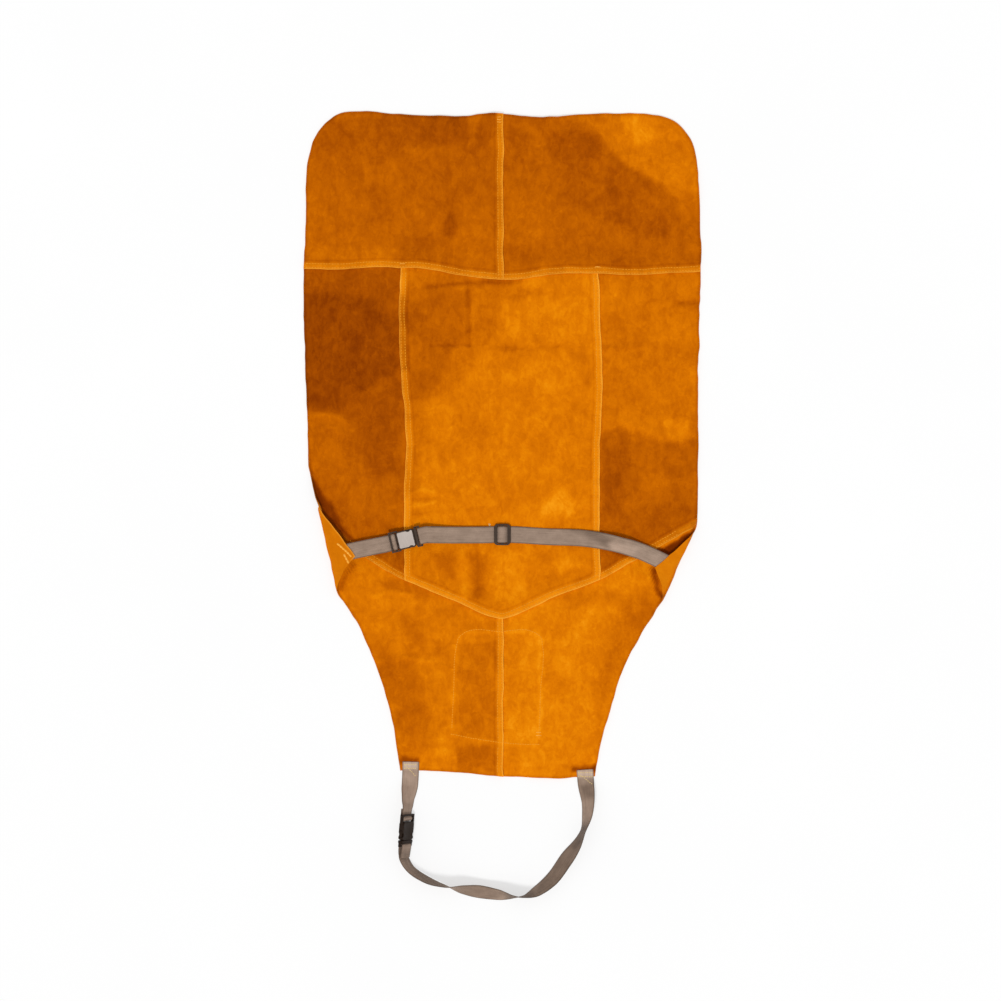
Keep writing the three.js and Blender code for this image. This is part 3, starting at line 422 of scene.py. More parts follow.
@dataclass(frozen=True)
class SuedeFinish:
    """Napped split leather: blotched tan, lighter on the sewn laps; raw edges take a painted highlight, open
    rims and a line beside each lap painted shade.

    Distances from a lapped raw edge and from a rim are in millimetres.
    """

    stops: Stops = (
        (-0.2, tint(112, 42, 1)),
        (0.0, tint(134, 55, 1)),
        (0.3, tint(166, 77, 1)),
        (0.6, tint(194, 98, 1)),
        (0.85, tint(217, 117, 2)),
        (1.0, tint(230, 131, 4)),
        (1.2, tint(244, 152, 18)),
    )
    lap: Colour = tint(238, 141, 14)
    # Colour of the painted highlight on lapped raw edges and cut rims.
    edge: Colour = tint(248, 172, 56)
    front: Colour = tint(204, 114, 8)
    front_share: float = 0.6
    sheen: Colour = (0.9, 0.42, 0.04, 1.0)
    lap_end: tuple[float, float] = (6.6, 11.6)
    lip_end: tuple[float, float] = (0.6, 2.6)
    cut_end: tuple[float, float] = (0.2, 2.6)
    rim_start: tuple[float, float] = (5.5, 0.0)
    rim_clear: tuple[float, float] = (6.0, 14.0)
    rim_painted_shade: float = 0.26
    worn_stretch: tuple[float, float] = (0.3, 0.72)
    corner_slant: float = -0.12
    corner_rise: tuple[float, float] = (-60.0, -50.0)
    cut_highlight: float = 0.1
    corner_highlight: float = 0.45
    lap_groove_shade: float = 13.2
    stitch_rows: tuple[float, float] = (2.8, 8.2)

    def material(self) -> bpy.types.Material:
        """The suede's material; tone, seam, rim and front are attributes of the panels."""
        sketch = NodeSketch("suede")
        seam, rim, front = (sketch.attribute(name) for name in ("seam", "rim", "front"))
        tone = self.mottled(sketch, seam)
        # Painted shade on open rims, where the edges turn down: away from the laps and not on rolled-over
        # leather.
        clear = sketch.between(*self.rim_clear, seam)
        open_rim = sketch.math("MULTIPLY", sketch.between(*self.rim_start, rim), clear)
        open_rim = sketch.math("MULTIPLY", open_rim, sketch.math("SUBTRACT", 1.0, front))
        tone = sketch.math("MULTIPLY_ADD", open_rim, -self.rim_painted_shade, tone)
        colour = sketch.ramp(tone, self.stops)
        colour = sketch.mix(sketch.math("MULTIPLY", front, self.front_share), colour, self.front)
        wear = self.wear(sketch, tone)
        band = sketch.math("MULTIPLY", sketch.fall(*self.lap_end, seam), wear)
        colour = sketch.mix(band, colour, self.lap)
        # Painted highlights in the edge colour: a lip along each lapped raw edge, scaled by the laps' wear,
        # and the cut rims.
        lip_highlight = sketch.math("MULTIPLY", sketch.fall(*self.lip_end, seam), wear)
        cut = sketch.math("MULTIPLY", sketch.fall(*self.cut_end, rim), self.painted_edge_highlight(sketch, front))
        sketch.set(
            Base_Color=sketch.mix(sketch.math("MAXIMUM", lip_highlight, cut), colour, self.edge),
            Roughness=0.93,
            Specular_IOR_Level=0.12,
            Specular_Tint=self.sheen,
            Sheen_Weight=0.18,
            Sheen_Roughness=0.45,
            Sheen_Tint=self.sheen,
            Normal=self.relief(sketch, seam),
        )
        return sketch.material

    def wear(self, sketch: NodeSketch, tone: bpy.types.NodeSocket) -> bpy.types.NodeSocket:
        """How pale the laps are rubbed, less on a dark hide.

        Args:
            sketch: The material's sketch.
            tone: Tone of the hide.

        Returns:
            The share of the lap's colour, from 0 to 1.
        """
        worn = sketch.between(*self.worn_stretch, sketch.noise(19, 3, 0.6))
        wear = sketch.math("MULTIPLY_ADD", sketch.noise(130, 4, 0.6, bend=0.6), 0.7, 0.35)
        wear = sketch.math("MULTIPLY_ADD", worn, 0.35, wear)
        return sketch.math("MULTIPLY", wear, sketch.math("MULTIPLY_ADD", tone, 0.75, 0.15), clamp=True)

    def painted_edge_highlight(self, sketch: NodeSketch, front: bpy.types.NodeSocket) -> bpy.types.NodeSocket:
        """How much painted highlight a cut rim takes: a little where it lies flat, most on the left waist
        corner, where its front shows.

        Args:
            sketch: The material's sketch.
            front: How far the leather is rolled over.

        Returns:
            The share of the edge's highlight colour.
        """
        parts = sketch.add("ShaderNodeSeparateXYZ")
        sketch.feed(parts.inputs["Vector"], sketch.place)
        slant = sketch.math("MULTIPLY_ADD", parts.outputs["X"], self.corner_slant, parts.outputs["Y"])
        low, high = self.corner_rise
        upper = sketch.between(low * MM, high * MM, slant)
        gain = sketch.math("MULTIPLY_ADD", upper, self.corner_highlight, -self.cut_highlight)
        return sketch.math("MULTIPLY_ADD", front, gain, self.cut_highlight)

    def mottled(self, sketch: NodeSketch, seam: bpy.types.NodeSocket) -> bpy.types.NodeSocket:
        """Tone of the hide with its patches, drag marks and scuffs, and a line of painted shade beside each
        lap.

        Args:
            sketch: The material's sketch.
            seam: Distance from a lapped raw edge, in millimetres.

        Returns:
            The tone, from dark at 0 to light at 1.
        """
        dragged = sketch.stretch((1.0, 0.5, 1.0))
        marks = (
            (sketch.between(0.41, 0.59, sketch.noise(42, 4, 0.6, bend=0.9)), 0.09),
            (sketch.between(0.4, 0.6, sketch.noise(105, 4, 0.6, dragged, 0.9)), 0.09),
            (sketch.noise(60, 5, 0.6, bend=0.8), 0.26),
            (sketch.noise(170, 4, 0.6, dragged, 1.0), 0.22),
            (sketch.noise(440, 3, 0.6), 0.11),
            (sketch.noise(1700, 2, 0.6), 0.08),
        )
        tone = sketch.attribute("tone")
        for noise, depth in marks:
            tone = sketch.math("ADD", tone, sketch.math("MULTIPLY_ADD", noise, depth, -depth / 2))
        scuffs = sketch.between(0.6, 0.7, sketch.noise(120, 5, 0.68, bend=0.5))
        tone = sketch.math("MULTIPLY_ADD", scuffs, 0.1, tone)
        # Painted shade: a darker line in the groove just beyond each lap.
        away = sketch.math("ABSOLUTE", sketch.math("SUBTRACT", seam, self.lap_groove_shade))
        return sketch.math("MULTIPLY_ADD", sketch.fall(0.0, 2.6, away), -0.1, tone)

    def relief(self, sketch: NodeSketch, seam: bpy.types.NodeSocket) -> bpy.types.NodeSocket:
        """Normal of the nap, with a groove along each row of stitches.

        Args:
            sketch: The material's sketch.
            seam: Distance from a lapped raw edge, in millimetres.

        Returns:
            The bumped normal.
        """
        groove: object = 0.0
        for row in self.stitch_rows:
            away = sketch.math("ABSOLUTE", sketch.math("SUBTRACT", seam, row))
            groove = sketch.math("ADD", groove, sketch.between(0.2, 1.5, away))
        pressed = sketch.bump(groove, 0.7, 0.5 * MM)
        dents = sketch.bump(sketch.noise(95, 4, 0.6, bend=0.8), 0.7, 1.5 * MM, pressed)
        return sketch.bump(sketch.noise(1500, 3, 0.65), 0.5, 0.25 * MM, dents)


@dataclass(frozen=True)
class WebbingFinish:
    """Plain woven tape: ribs along it, picks across, faintly streaked."""

    stops: Stops = (
        (-0.8, tint(86, 69, 57)),
        (0.0, tint(130, 109, 93)),
        (1.0, tint(183, 157, 138)),
        (1.4, tint(204, 180, 162)),
    )
    rib: float = 1.05
    pick: float = 1.3

    def material(self) -> bpy.types.Material:
        """The webbing's material; along and across are attributes in millimetres."""
        sketch = NodeSketch("webbing")
        along, across = sketch.attribute("along"), sketch.attribute("across")
        ribs = sketch.math("SINE", sketch.math("MULTIPLY", across, math.pi / self.rib))
        picks = sketch.math("SINE", sketch.math("MULTIPLY", along, math.pi / self.pick))
        weave = sketch.math("ABSOLUTE", sketch.math("MULTIPLY", ribs, picks))
        place = sketch.add("ShaderNodeCombineXYZ")
        sketch.feed(place.inputs["X"], along)
        sketch.feed(place.inputs["Y"], across)
        streaks = sketch.noise(1.0, 3, 0.6, sketch.stretch((0.02, 0.55, 1.0), place.outputs["Vector"]))
        soil = sketch.noise(1.0, 3, 0.6, sketch.stretch((0.06, 0.09, 1.0), place.outputs["Vector"]))
        edge = sketch.between(10.2, 12.3, sketch.math("ABSOLUTE", across))
        shade = sketch.math("MULTIPLY_ADD", streaks, 0.7, -0.1)
        shade = sketch.math("ADD", shade, sketch.math("MULTIPLY_ADD", soil, 0.8, -0.45))
        shade = sketch.math("MULTIPLY_ADD", weave, 0.35, shade)
        # Adds each strap's own patches: stains and pale sewn ends, and painted shade and highlights where the
        # straps twist and fold.
        shade = sketch.math("ADD", shade, sketch.attribute("soil"))
        shade = sketch.math("SUBTRACT", shade, sketch.math("MULTIPLY", edge, 0.75))
        sketch.set(
            Base_Color=sketch.ramp(shade, self.stops),
            Roughness=0.78,
            Specular_IOR_Level=0.25,
            Sheen_Weight=0.1,
            Normal=sketch.bump(weave, 0.6, 0.3 * MM),
        )
        return sketch.material


@dataclass(frozen=True)
class ThreadFinish:
    """Waxed sewing thread."""

    name: str
    dark: Colour
    light: Colour

    def material(self) -> bpy.types.Material:
        """The thread's material, with the lay of its plies."""
        sketch = NodeSketch(self.name)
        plies = sketch.noise(1400, 2, 0.5)
        sketch.set(
            Base_Color=sketch.mix(sketch.noise(260, 2), self.dark, self.light),
            Roughness=0.7,
            Specular_IOR_Level=0.08,
            Specular_Tint=self.light,
            Normal=sketch.bump(plies, 0.4, 0.15 * MM),
        )
        return sketch.material


@dataclass(frozen=True)
class PlasticFinish:
    """Moulded plastic with a fine satin grain; a pressed face may be lighter, a painted reflection of the
    studio light.
    """

    name: str
    body: Colour = tint(56, 45, 38)
    worn: Colour = tint(88, 73, 61)
    # Colour of a pressed face; the light grey one is a painted reflection of the studio light.
    face: Colour = tint(198, 186, 178)
    roughness: float = 0.46

    def material(self) -> bpy.types.Material:
        """The plastic's material; face is an attribute of the socket, marking where the face colour is
        painted.
        """
        sketch = NodeSketch(self.name)
        mottle = sketch.noise(220, 3)
        colour = sketch.mix(sketch.math("MULTIPLY", mottle, 0.5), self.body, self.worn)
        scuffs = sketch.noise(1.0, 3, 0.6, sketch.stretch((900.0, 140.0, 300.0)))
        # The face colour, scuffed: on the waist socket a painted reflection.
        painted_reflection = sketch.mix(sketch.math("MULTIPLY", scuffs, 0.35), self.face, self.worn)
        colour = sketch.mix(sketch.attribute("face"), colour, painted_reflection)
        rough = sketch.math("MULTIPLY_ADD", scuffs, 0.2, self.roughness - 0.1)
        sketch.set(
            Base_Color=colour,
            Roughness=rough,
            Specular_IOR_Level=0.1,
            Normal=sketch.bump(sketch.noise(2600, 2), 0.25, 0.05 * MM),
        )
        return sketch.material


@dataclass(frozen=True)
class FloorFinish:
    """Pale matt floor."""

    paint: Colour = (0.38, 0.38, 0.38, 1.0)
    shade: Colour = (0.36, 0.36, 0.36, 1.0)
    glow: float = 0.6

    def material(self) -> bpy.types.Material:
        """The floor's material, faintly uneven, lit from within so that shadows stay faint."""
        sketch = NodeSketch("floor")
        sketch.set(
            Base_Color=sketch.mix(sketch.noise(3.0, 2), self.shade, self.paint),
            Roughness=0.9,
            Specular_IOR_Level=0.1,
            Emission_Color=(1.0, 1.0, 1.0, 1.0),
            Emission_Strength=self.glow,
        )
        return sketch.material


# Meshes


def new_object(name: str, vertices: np.ndarray, faces: list) -> bpy.types.Object:
    """Object at the origin from points and faces."""
    mesh = bpy.data.meshes.new(name)
    mesh.from_pydata(np.asarray(vertices).tolist(), [], faces)
    mesh.update()
    return place_mesh(mesh)


def place_mesh(mesh: bpy.types.Mesh) -> bpy.types.Object:
    """Object at the origin with a mesh and its name."""
    thing = bpy.data.objects.new(mesh.name, mesh)
    bpy.context.scene.collection.objects.link(thing)
    return thing


def settle(name: str, shape: bmesh.types.BMesh) -> bpy.types.Object:
    """Object from an edited mesh, which is freed."""
    mesh = bpy.data.meshes.new(name)
    shape.to_mesh(mesh)
    shape.free()
    return place_mesh(mesh)


def deselect_all() -> None:
    """Deselects every object."""
    for thing in bpy.context.view_layer.objects:
        thing.select_set(False)


def make_active(thing: bpy.types.Object) -> None:
    """Selects one object alone."""
    deselect_all()
    thing.select_set(True)
    bpy.context.view_layer.objects.active = thing


def apply_modifier(thing: bpy.types.Object, kind: str, **settings: object) -> None:
    """Adds a modifier to an object and applies it."""
    make_active(thing)
    modifier = thing.modifiers.new(kind.lower(), kind)
    for name, value in settings.items():
        setattr(modifier, name, value)
    bpy.ops.object.modifier_apply(modifier=modifier.name)


def smooth_shading(thing: bpy.types.Object, angle: float) -> None:
    """Shades an object smooth, apart from edges sharper than an angle in degrees."""
    make_active(thing)
    bpy.ops.object.shade_smooth_by_angle(angle=math.radians(angle))


def coordinates(thing: bpy.types.Object) -> np.ndarray:
    """Places of an object's vertices."""
    flat = np.zeros(len(thing.data.vertices) * 3, np.float32)
    thing.data.vertices.foreach_get("co", flat)
    return flat.reshape(-1, 3).astype(float)


def move_vertices(thing: bpy.types.Object, places: np.ndarray) -> None:
    """Puts an object's vertices at new places."""
    thing.data.vertices.foreach_set("co", places.astype(np.float32).ravel())
    thing.data.update()


def set_attribute(thing: bpy.types.Object, name: str, values: np.ndarray, domain: str = "POINT") -> None:
    """Stores a number for each vertex or face of an object."""
    found = thing.data.attributes.get(name)
    attribute = found or thing.data.attributes.new(name, "FLOAT", domain)
    attribute.data.foreach_set("value", np.asarray(values, np.float32))


def get_attribute(thing: bpy.types.Object, name: str) -> np.ndarray:
    """Numbers of an attribute of an object."""
    attribute = thing.data.attributes[name]
    values = np.zeros(len(attribute.data), np.float32)
    attribute.data.foreach_get("value", values)
    return values.astype(float)


def welded_node(node: str, quads: bool = True) -> bmesh.types.BMesh:
    """A CAD node's surface with its corners joined.

    Args:
        node: The node's name.
        quads: Whether pairs of triangles become four-sided faces.

    Returns:
        A new mesh to edit, which the caller frees.
    """
    source = bpy.data.objects[node].data
    shape = bmesh.new()
    lookup = [shape.verts.new(vertex.co) for vertex in source.vertices]
    for polygon in source.polygons:
        shape.faces.new([lookup[index] for index in polygon.vertices])
    bmesh.ops.remove_doubles(shape, verts=shape.verts[:], dist=WELD)
    if quads:
        bmesh.ops.join_triangles(
            shape,
            faces=shape.faces[:],
            angle_face_threshold=math.radians(75),
            angle_shape_threshold=math.radians(100),
            topology_influence=1.0,
        )
    return shape


def finish_piece(
    thing: bpy.types.Object, material: bpy.types.Material, slot: str | None, *nodes: str
) -> None:
    """Dresses a piece, puts it on the body and says which nodes it stands for.

    Args:
        thing: The finished piece.
        material: Its material.
        slot: The record's material slot, or none; not used.
        nodes: CAD nodes that it replaces.
    """
    thing.data.materials.clear()
    thing.data.materials.append(material)
    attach(thing, BODY)
    if nodes:
        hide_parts(*nodes)
    LOG.info("%s: %d faces", thing.name, len(thing.data.polygons))


# Leather


@dataclass(frozen=True)
class StainAndPaintedLight:
    """A patch of a hide or tape with a tone of its own, drawn on the photograph: mostly stains, some of them
    painted shade and painted highlights.

    The outline and the softness of its edge are in pixels.
    """

    tone: float
    outline: tuple[Point, ...]
    soft: float = 5.0

    def weight(self, places: np.ndarray) -> np.ndarray:
        """How much each place lies in the patch, from 0 to 1."""
        path = pixels(*self.outline, self.outline[0])
        inside = np.zeros(len(places), bool)
        for (x0, y0), (x1, y1) in zip(path[:-1], path[1:]):
            spans = (y0 > places[:, 1]) != (y1 > places[:, 1])
            rise = y1 - y0 if y1 != y0 else 1e-9
            inside ^= spans & (places[:, 0] < x0 + (places[:, 1] - y0) / rise * (x1 - x0))
        away = distance_to_path(places, path)
        return smoothstep(-self.soft, self.soft, np.where(inside, away, -away) / PIXEL)


@dataclass(frozen=True)
class Crease:
    """A ridge or valley in the laid leather, along pixels of the photograph.

    Width and height are in millimetres, and a valley's height is negative; tone is how much
    lighter the hide is along it: wear where positive, painted shade where negative.
    """

    path: tuple[Point, ...]
    width: float
    height: float
    tone: float = 0.0

    def weight(self, places: np.ndarray) -> np.ndarray:
        """How much each place lies on the crease, from 0 to 1."""
        away = distance_to_path(places, pixels(*self.path)) / (self.width * MM)
        return np.exp(-away * away)


@dataclass
class LaidRelief:
    """How the laid leather stands off the floor: slow waves, creases from packing, small wrinkles.

    The outline's points are set once all panels are cut; edges curl up a little along it.
    """

    wave: float = 1.3
    ripple: float = 0.34
    curl: float = 2.6
    curl_reach: float = 20.0
    slow: tuple[Layer, ...] = (Layer(0.11, 11), Layer(0.052, 12, 0.5))
    fast: tuple[Layer, ...] = (Layer(0.021, 13), Layer(0.011, 14, 0.6))
    sway: tuple[Layer, ...] = (Layer(0.07, 15), Layer(0.03, 16, 0.4))
    stray_across: tuple[Layer, ...] = (Layer(0.03, 21, 0.9), Layer(0.012, 22, 0.55))
    stray_along: tuple[Layer, ...] = (Layer(0.03, 23, 0.9), Layer(0.012, 24, 0.55))
    creases: tuple[Crease, ...] = (
        Crease(((463, 288), (464, 346)), 3.0, 1.0, 0.12),
        Crease(((468, 289), (469, 346)), 2.4, -0.8, -0.26),
        Crease(((430, 346), (450, 345), (470, 346)), 2.4, -0.8, -0.2),
        Crease(((499, 348), (530, 349), (560, 347)), 2.6, -0.7, -0.14),
        Crease(((605, 349), (641, 346)), 3.4, 1.0, -0.08),
        Crease(((426, 288), (455, 284), (490, 282), (522, 281)), 2.8, -1.1, -0.26),
        Crease(((411, 494), (422, 490), (434, 492)), 2.6, 1.2, 0.16),
        Crease(((413, 500), (437, 498)), 2.2, -0.8, -0.18),
        Crease(((413, 506), (437, 502)), 2.6, 1.2, 0.14),
        Crease(((415, 514), (432, 513)), 2.4, 0.9, -0.18),
        Crease(((680, 303), (698, 303)), 3.0, -1.0, -0.2),
        Crease(((308, 419), (325, 413), (346, 421)), 3.6, 1.2, 0.14),
        Crease(((310, 433), (330, 427), (348, 436)), 3.6, 1.1, 0.12),
        Crease(((463, 552), (465, 597)), 3.8, 1.1, 0.12),
        Crease(((478, 552), (478, 602)), 4.2, -0.9, -0.12),
        Crease(((373, 597), (392, 592), (412, 594)), 4.0, 1.2, 0.14),
        Crease(((378, 661), (405, 657), (432, 662)), 3.6, 1.0, 0.12),
        Crease(((512, 470), (519, 500)), 4.5, 0.6, 0.06),
        Crease(((560, 432), (578, 402), (590, 374)), 6.0, -0.9, -0.08),
        Crease(((605, 417), (650, 431), (698, 446)), 6.0, 0.9, 0.06),
        Crease(((552, 128), (604, 158), (640, 186), (668, 214)), 5.0, 0.9, 0.06),
        Crease(((450, 212), (450, 238)), 4.0, -0.8, -0.1),
        Crease(
            (
                (451.6, 728), (453.6, 690), (457, 645), (459, 637), (466, 631.8),
                (533, 631.8), (540, 637), (541, 690), (539.2, 738),
            ),
            4.0, 0.7, 0.14,
        ),
        Crease(((449, 734), (497, 742), (540, 744)), 3.6, 0.6, 0.06),
    )
    strap_line: tuple[Point, ...] = (
        (330, 556), (357, 549.5), (391, 543), (421, 536), (482, 535),
        (547, 537), (600, 540), (633, 548), (674, 567),
    )
    strap_clear: tuple[float, float] = (17.0, 38.0)
    sewn_ends: tuple[tuple[Point, ...], ...] = (((410, 764), (411, 774)), ((585, 772), (585, 782)))
    outline: KDTree | None = None

    def find_outline(self, panels: tuple[LeatherPanel, ...]) -> None:
        """Gathers the points of the panels' rims that lie open at the apron's outline."""
        self.outline = point_tree(np.concatenate([panel.open_rim() for panel in panels]))

    def lift(self, places: np.ndarray) -> np.ndarray:
        """Lift of each place off its CAD height, never downward.

        Args:
            places: Points of the leather, one a row.

        Returns:
            One height a point, in metres.
        """
        height = self.wave * MM * (0.75 + 0.5 * layered_noise(places, self.slow))
        height += self.ripple * MM * layered_noise(places, self.fast)
        for crease in self.creases:
            height += crease.height * MM * crease.weight(places)
        inward = np.array([self.outline.find((x, y, 0.0))[2] for x, y, _ in places])
        sway = np.clip(0.2 + layered_noise(places, self.sway), 0.0, 1.2)
        height += self.curl * MM * sway * np.exp(-inward / (self.curl_reach * MM))
        for line in (self.strap_line, *self.sewn_ends):
            away = distance_to_path(places, pixels(*line)) / MM
            height *= smoothstep(*self.strap_clear, away)
        return np.maximum(height, 0.0)

    def stray(self, places: np.ndarray) -> np.ndarray:
        """How far each place strays in the plane from its drawn line, in metres."""
        layers = (self.stray_across, self.stray_along)
        return np.column_stack([layered_noise(places, part) for part in layers]) * MM

    def tone(self, places: np.ndarray) -> np.ndarray:
        """How much lighter the creases leave the hide at each place: lighter with wear, darker with painted
        shade.
        """
        return sum(crease.tone * crease.weight(places) for crease in self.creases)


@dataclass
class LeatherPanel:
    """One cut of suede, laid over its CAD solid.

    Flat is the cut's width and length and area its flat area, in metres, neither of them used; tone
    is how light the hide is, from 0 to 1. Leather is rolled over between two heights, in millimetres,
    and an edge through the wall is shorter and its faces smaller than two limits, in millimetres.
    """

    node: str
    flat: tuple[float, float]
    area: float
    tone: float
    rests_on: tuple[str, ...]
    stains_and_painted_light: tuple[StainAndPaintedLight, ...] = ()
    laps: tuple[Seam, ...] = ()
    curls: bool = True
    levels: int = 3
    rim_angle: float = 50.0
    corner_angle: float = 42.0
    rolled: tuple[float, float] = (7.5, 10.5)
    furthest: float = 60.0
    lap_clear: float = 15.0
    wall: tuple[float, float] = (1.6, 80.0)
    warp_across: tuple[Layer, ...] = (Layer(0.018, 31, 4.0), Layer(0.007, 32, 2.0))
    warp_along: tuple[Layer, ...] = (Layer(0.018, 33, 4.0), Layer(0.007, 34, 2.0))
    cloudy: tuple[Layer, ...] = (Layer(0.045, 35, 0.04),)
    streaky: tuple[Layer, ...] = (Layer(0.017, 36, 0.045), Layer(0.008, 37, 0.035))
    thing: bpy.types.Object = field(init=False, repr=False)

    def cut(self) -> None:
        """Makes the panel's fine mesh and marks its rims and laps."""
        self.thing = self.fine_mesh()
        self.mark_edges(coordinates(self.thing))

    def lay(self, relief: LaidRelief) -> bpy.types.Object:
        """Gives the panel its relief and the tone of its hide.

        Args:
            relief: How the leather lies.

        Returns:
            The laid panel.
        """
        places = coordinates(self.thing)
        set_attribute(self.thing, "tone", self.tones(places) + relief.tone(places))
        set_attribute(self.thing, "front", self.turned(places))
        stray = relief.stray(places)
        places[:, 2] += relief.lift(places) + self.puff()
        places[:, :2] += stray
        move_vertices(self.thing, places)
        smooth_shading(self.thing, 45.0)
        return self.thing

    def turned(self, places: np.ndarray) -> np.ndarray:
        """How far each place is rolled over, so that its front shows, from 0 to 1."""
        low, high = self.rolled
        return smoothstep(low * MM, high * MM, places[:, 2])

    def puff(self) -> np.ndarray:
        """Height of the leather that stands up between the rows of stitches of its laps."""
        seam = get_attribute(self.thing, "seam")
        ridge = 0.45 * np.exp(-(((seam - 5.5) / 1.9) ** 2)) + 0.3 * np.exp(-((seam / 1.5) ** 2))
        return ridge * MM

    def open_rim(self) -> np.ndarray:
        """Points on the floor of the rims that lie open, away from every lap."""
        places = coordinates(self.thing)
        low = (get_attribute(self.thing, "rim") < 0.01) & (places[:, 2] < self.rolled[0] * MM)
        marks = places[low]
        for seam in Seam:
            marks = marks[distance_to_path(marks, seam.path()) > self.lap_clear * MM]
        marks[:, 2] = 0.0
        return marks if self.curls else marks[:0]

    def fine_mesh(self) -> bpy.types.Object:
        """The CAD solid's surface, subdivided with its rims kept."""
        shape = welded_node(self.node)
        crease = shape.edges.layers.float.new("crease_edge")
        hold = shape.verts.layers.float.new("crease_vert")
        rim = shape.verts.layers.float.new("rim_mark")
        limit = math.radians(self.rim_angle)
        edges = [edge for edge in shape.edges if edge.calc_face_angle(0.0) > limit]
        neighbours: dict[bmesh.types.BMVert, list[bmesh.types.BMVert]] = {}
        for edge in edges:
            edge[crease] = 1.0
            for vertex in edge.verts:
                vertex[rim] = 1.0
        loops = [edge for edge in edges if not self.is_wall_edge(edge)]
        for edge in loops:
            neighbours.setdefault(edge.verts[0], []).append(edge.verts[1])
            neighbours.setdefault(edge.verts[1], []).append(edge.verts[0])
        corners = self.corners(neighbours)
        for vertex in corners:
            vertex[hold] = 1.0
        self.round_out(neighbours, corners)
        thing = settle("suede_" + self.node, shape)
        apply_modifier(thing, "SUBSURF", levels=self.levels, render_levels=self.levels)
        return thing

    def is_wall_edge(self, edge: bmesh.types.BMEdge) -> bool:
        """Whether an edge runs through the leather's thickness."""
        length, area = self.wall[0] * MM, self.wall[1] * MM * MM
        return edge.calc_length() < length and all(face.calc_area() < area for face in edge.link_faces)

    def corners(self, neighbours: dict) -> set:
        """Rim points where the cut turns sharply."""
        found = set()
        for vertex, others in neighbours.items():
            if len(others) != 2:
                found.add(vertex)
                continue
            before, after = vertex.co - others[0].co, others[1].co - vertex.co
            if before.angle(after, 0.0) > math.radians(self.corner_angle):
                found.add(vertex)
        return found

    def round_out(self, neighbours: dict, corners: set) -> None:
        """Moves rim points out, so that the smoothed rim passes where they were."""
        wanted = {vertex: vertex.co.copy() for vertex in neighbours}
        for _ in range(5):
            moves = {}
            for vertex, others in neighbours.items():
                if vertex not in corners:
                    smoothed = (others[0].co + 4 * vertex.co + others[1].co) / 6
                    moves[vertex] = wanted[vertex] - smoothed
            for vertex, move in moves.items():
                vertex.co += move

    def mark_edges(self, places: np.ndarray) -> None:
        """Stores each point's distance from the rim, and from raw edges that lap over another panel."""
        marks = places[get_attribute(self.thing, "rim_mark") > 0.999]
        tree = point_tree(marks)
        rim = np.array([tree.find(place)[2] for place in places]) / MM
        set_attribute(self.thing, "rim", np.minimum(rim, self.furthest))
        seam = np.full(len(places), self.furthest)
        for lap in self.laps:
            seam = np.minimum(seam, distance_to_path(places, lap.path()) / MM)
        seam[places[:, 2] > self.rolled[0] * MM] = self.furthest
        set_attribute(self.thing, "seam", seam)
        self.thing.data.attributes.remove(self.thing.data.attributes["rim_mark"])

    def tones(self, places: np.ndarray) -> np.ndarray:
        """How light the hide is at each place, with painted shade where a patch stands for a shadow."""
        bent = places.copy()
        bent[:, 0] += MM * layered_noise(places, self.warp_across)
        bent[:, 1] += MM * layered_noise(places, self.warp_along)
        tone = np.full(len(places), self.tone)
        # Patches, the painted shadows among them, keep off leather that is rolled over, so the ears' fronts
        # stay clear.
        lying = 1.0 - self.turned(places)
        for tone_patch in self.stains_and_painted_light:
            tone += (tone_patch.tone - tone) * tone_patch.weight(bent) * lying
        stretched = places * np.array([1.0, 0.6, 1.0])
        return tone + layered_noise(places, self.cloudy) + layered_noise(stretched, self.streaky)

    def dress(self, material: bpy.types.Material) -> None:
        finish_piece(self.thing, material, "suede", self.node)


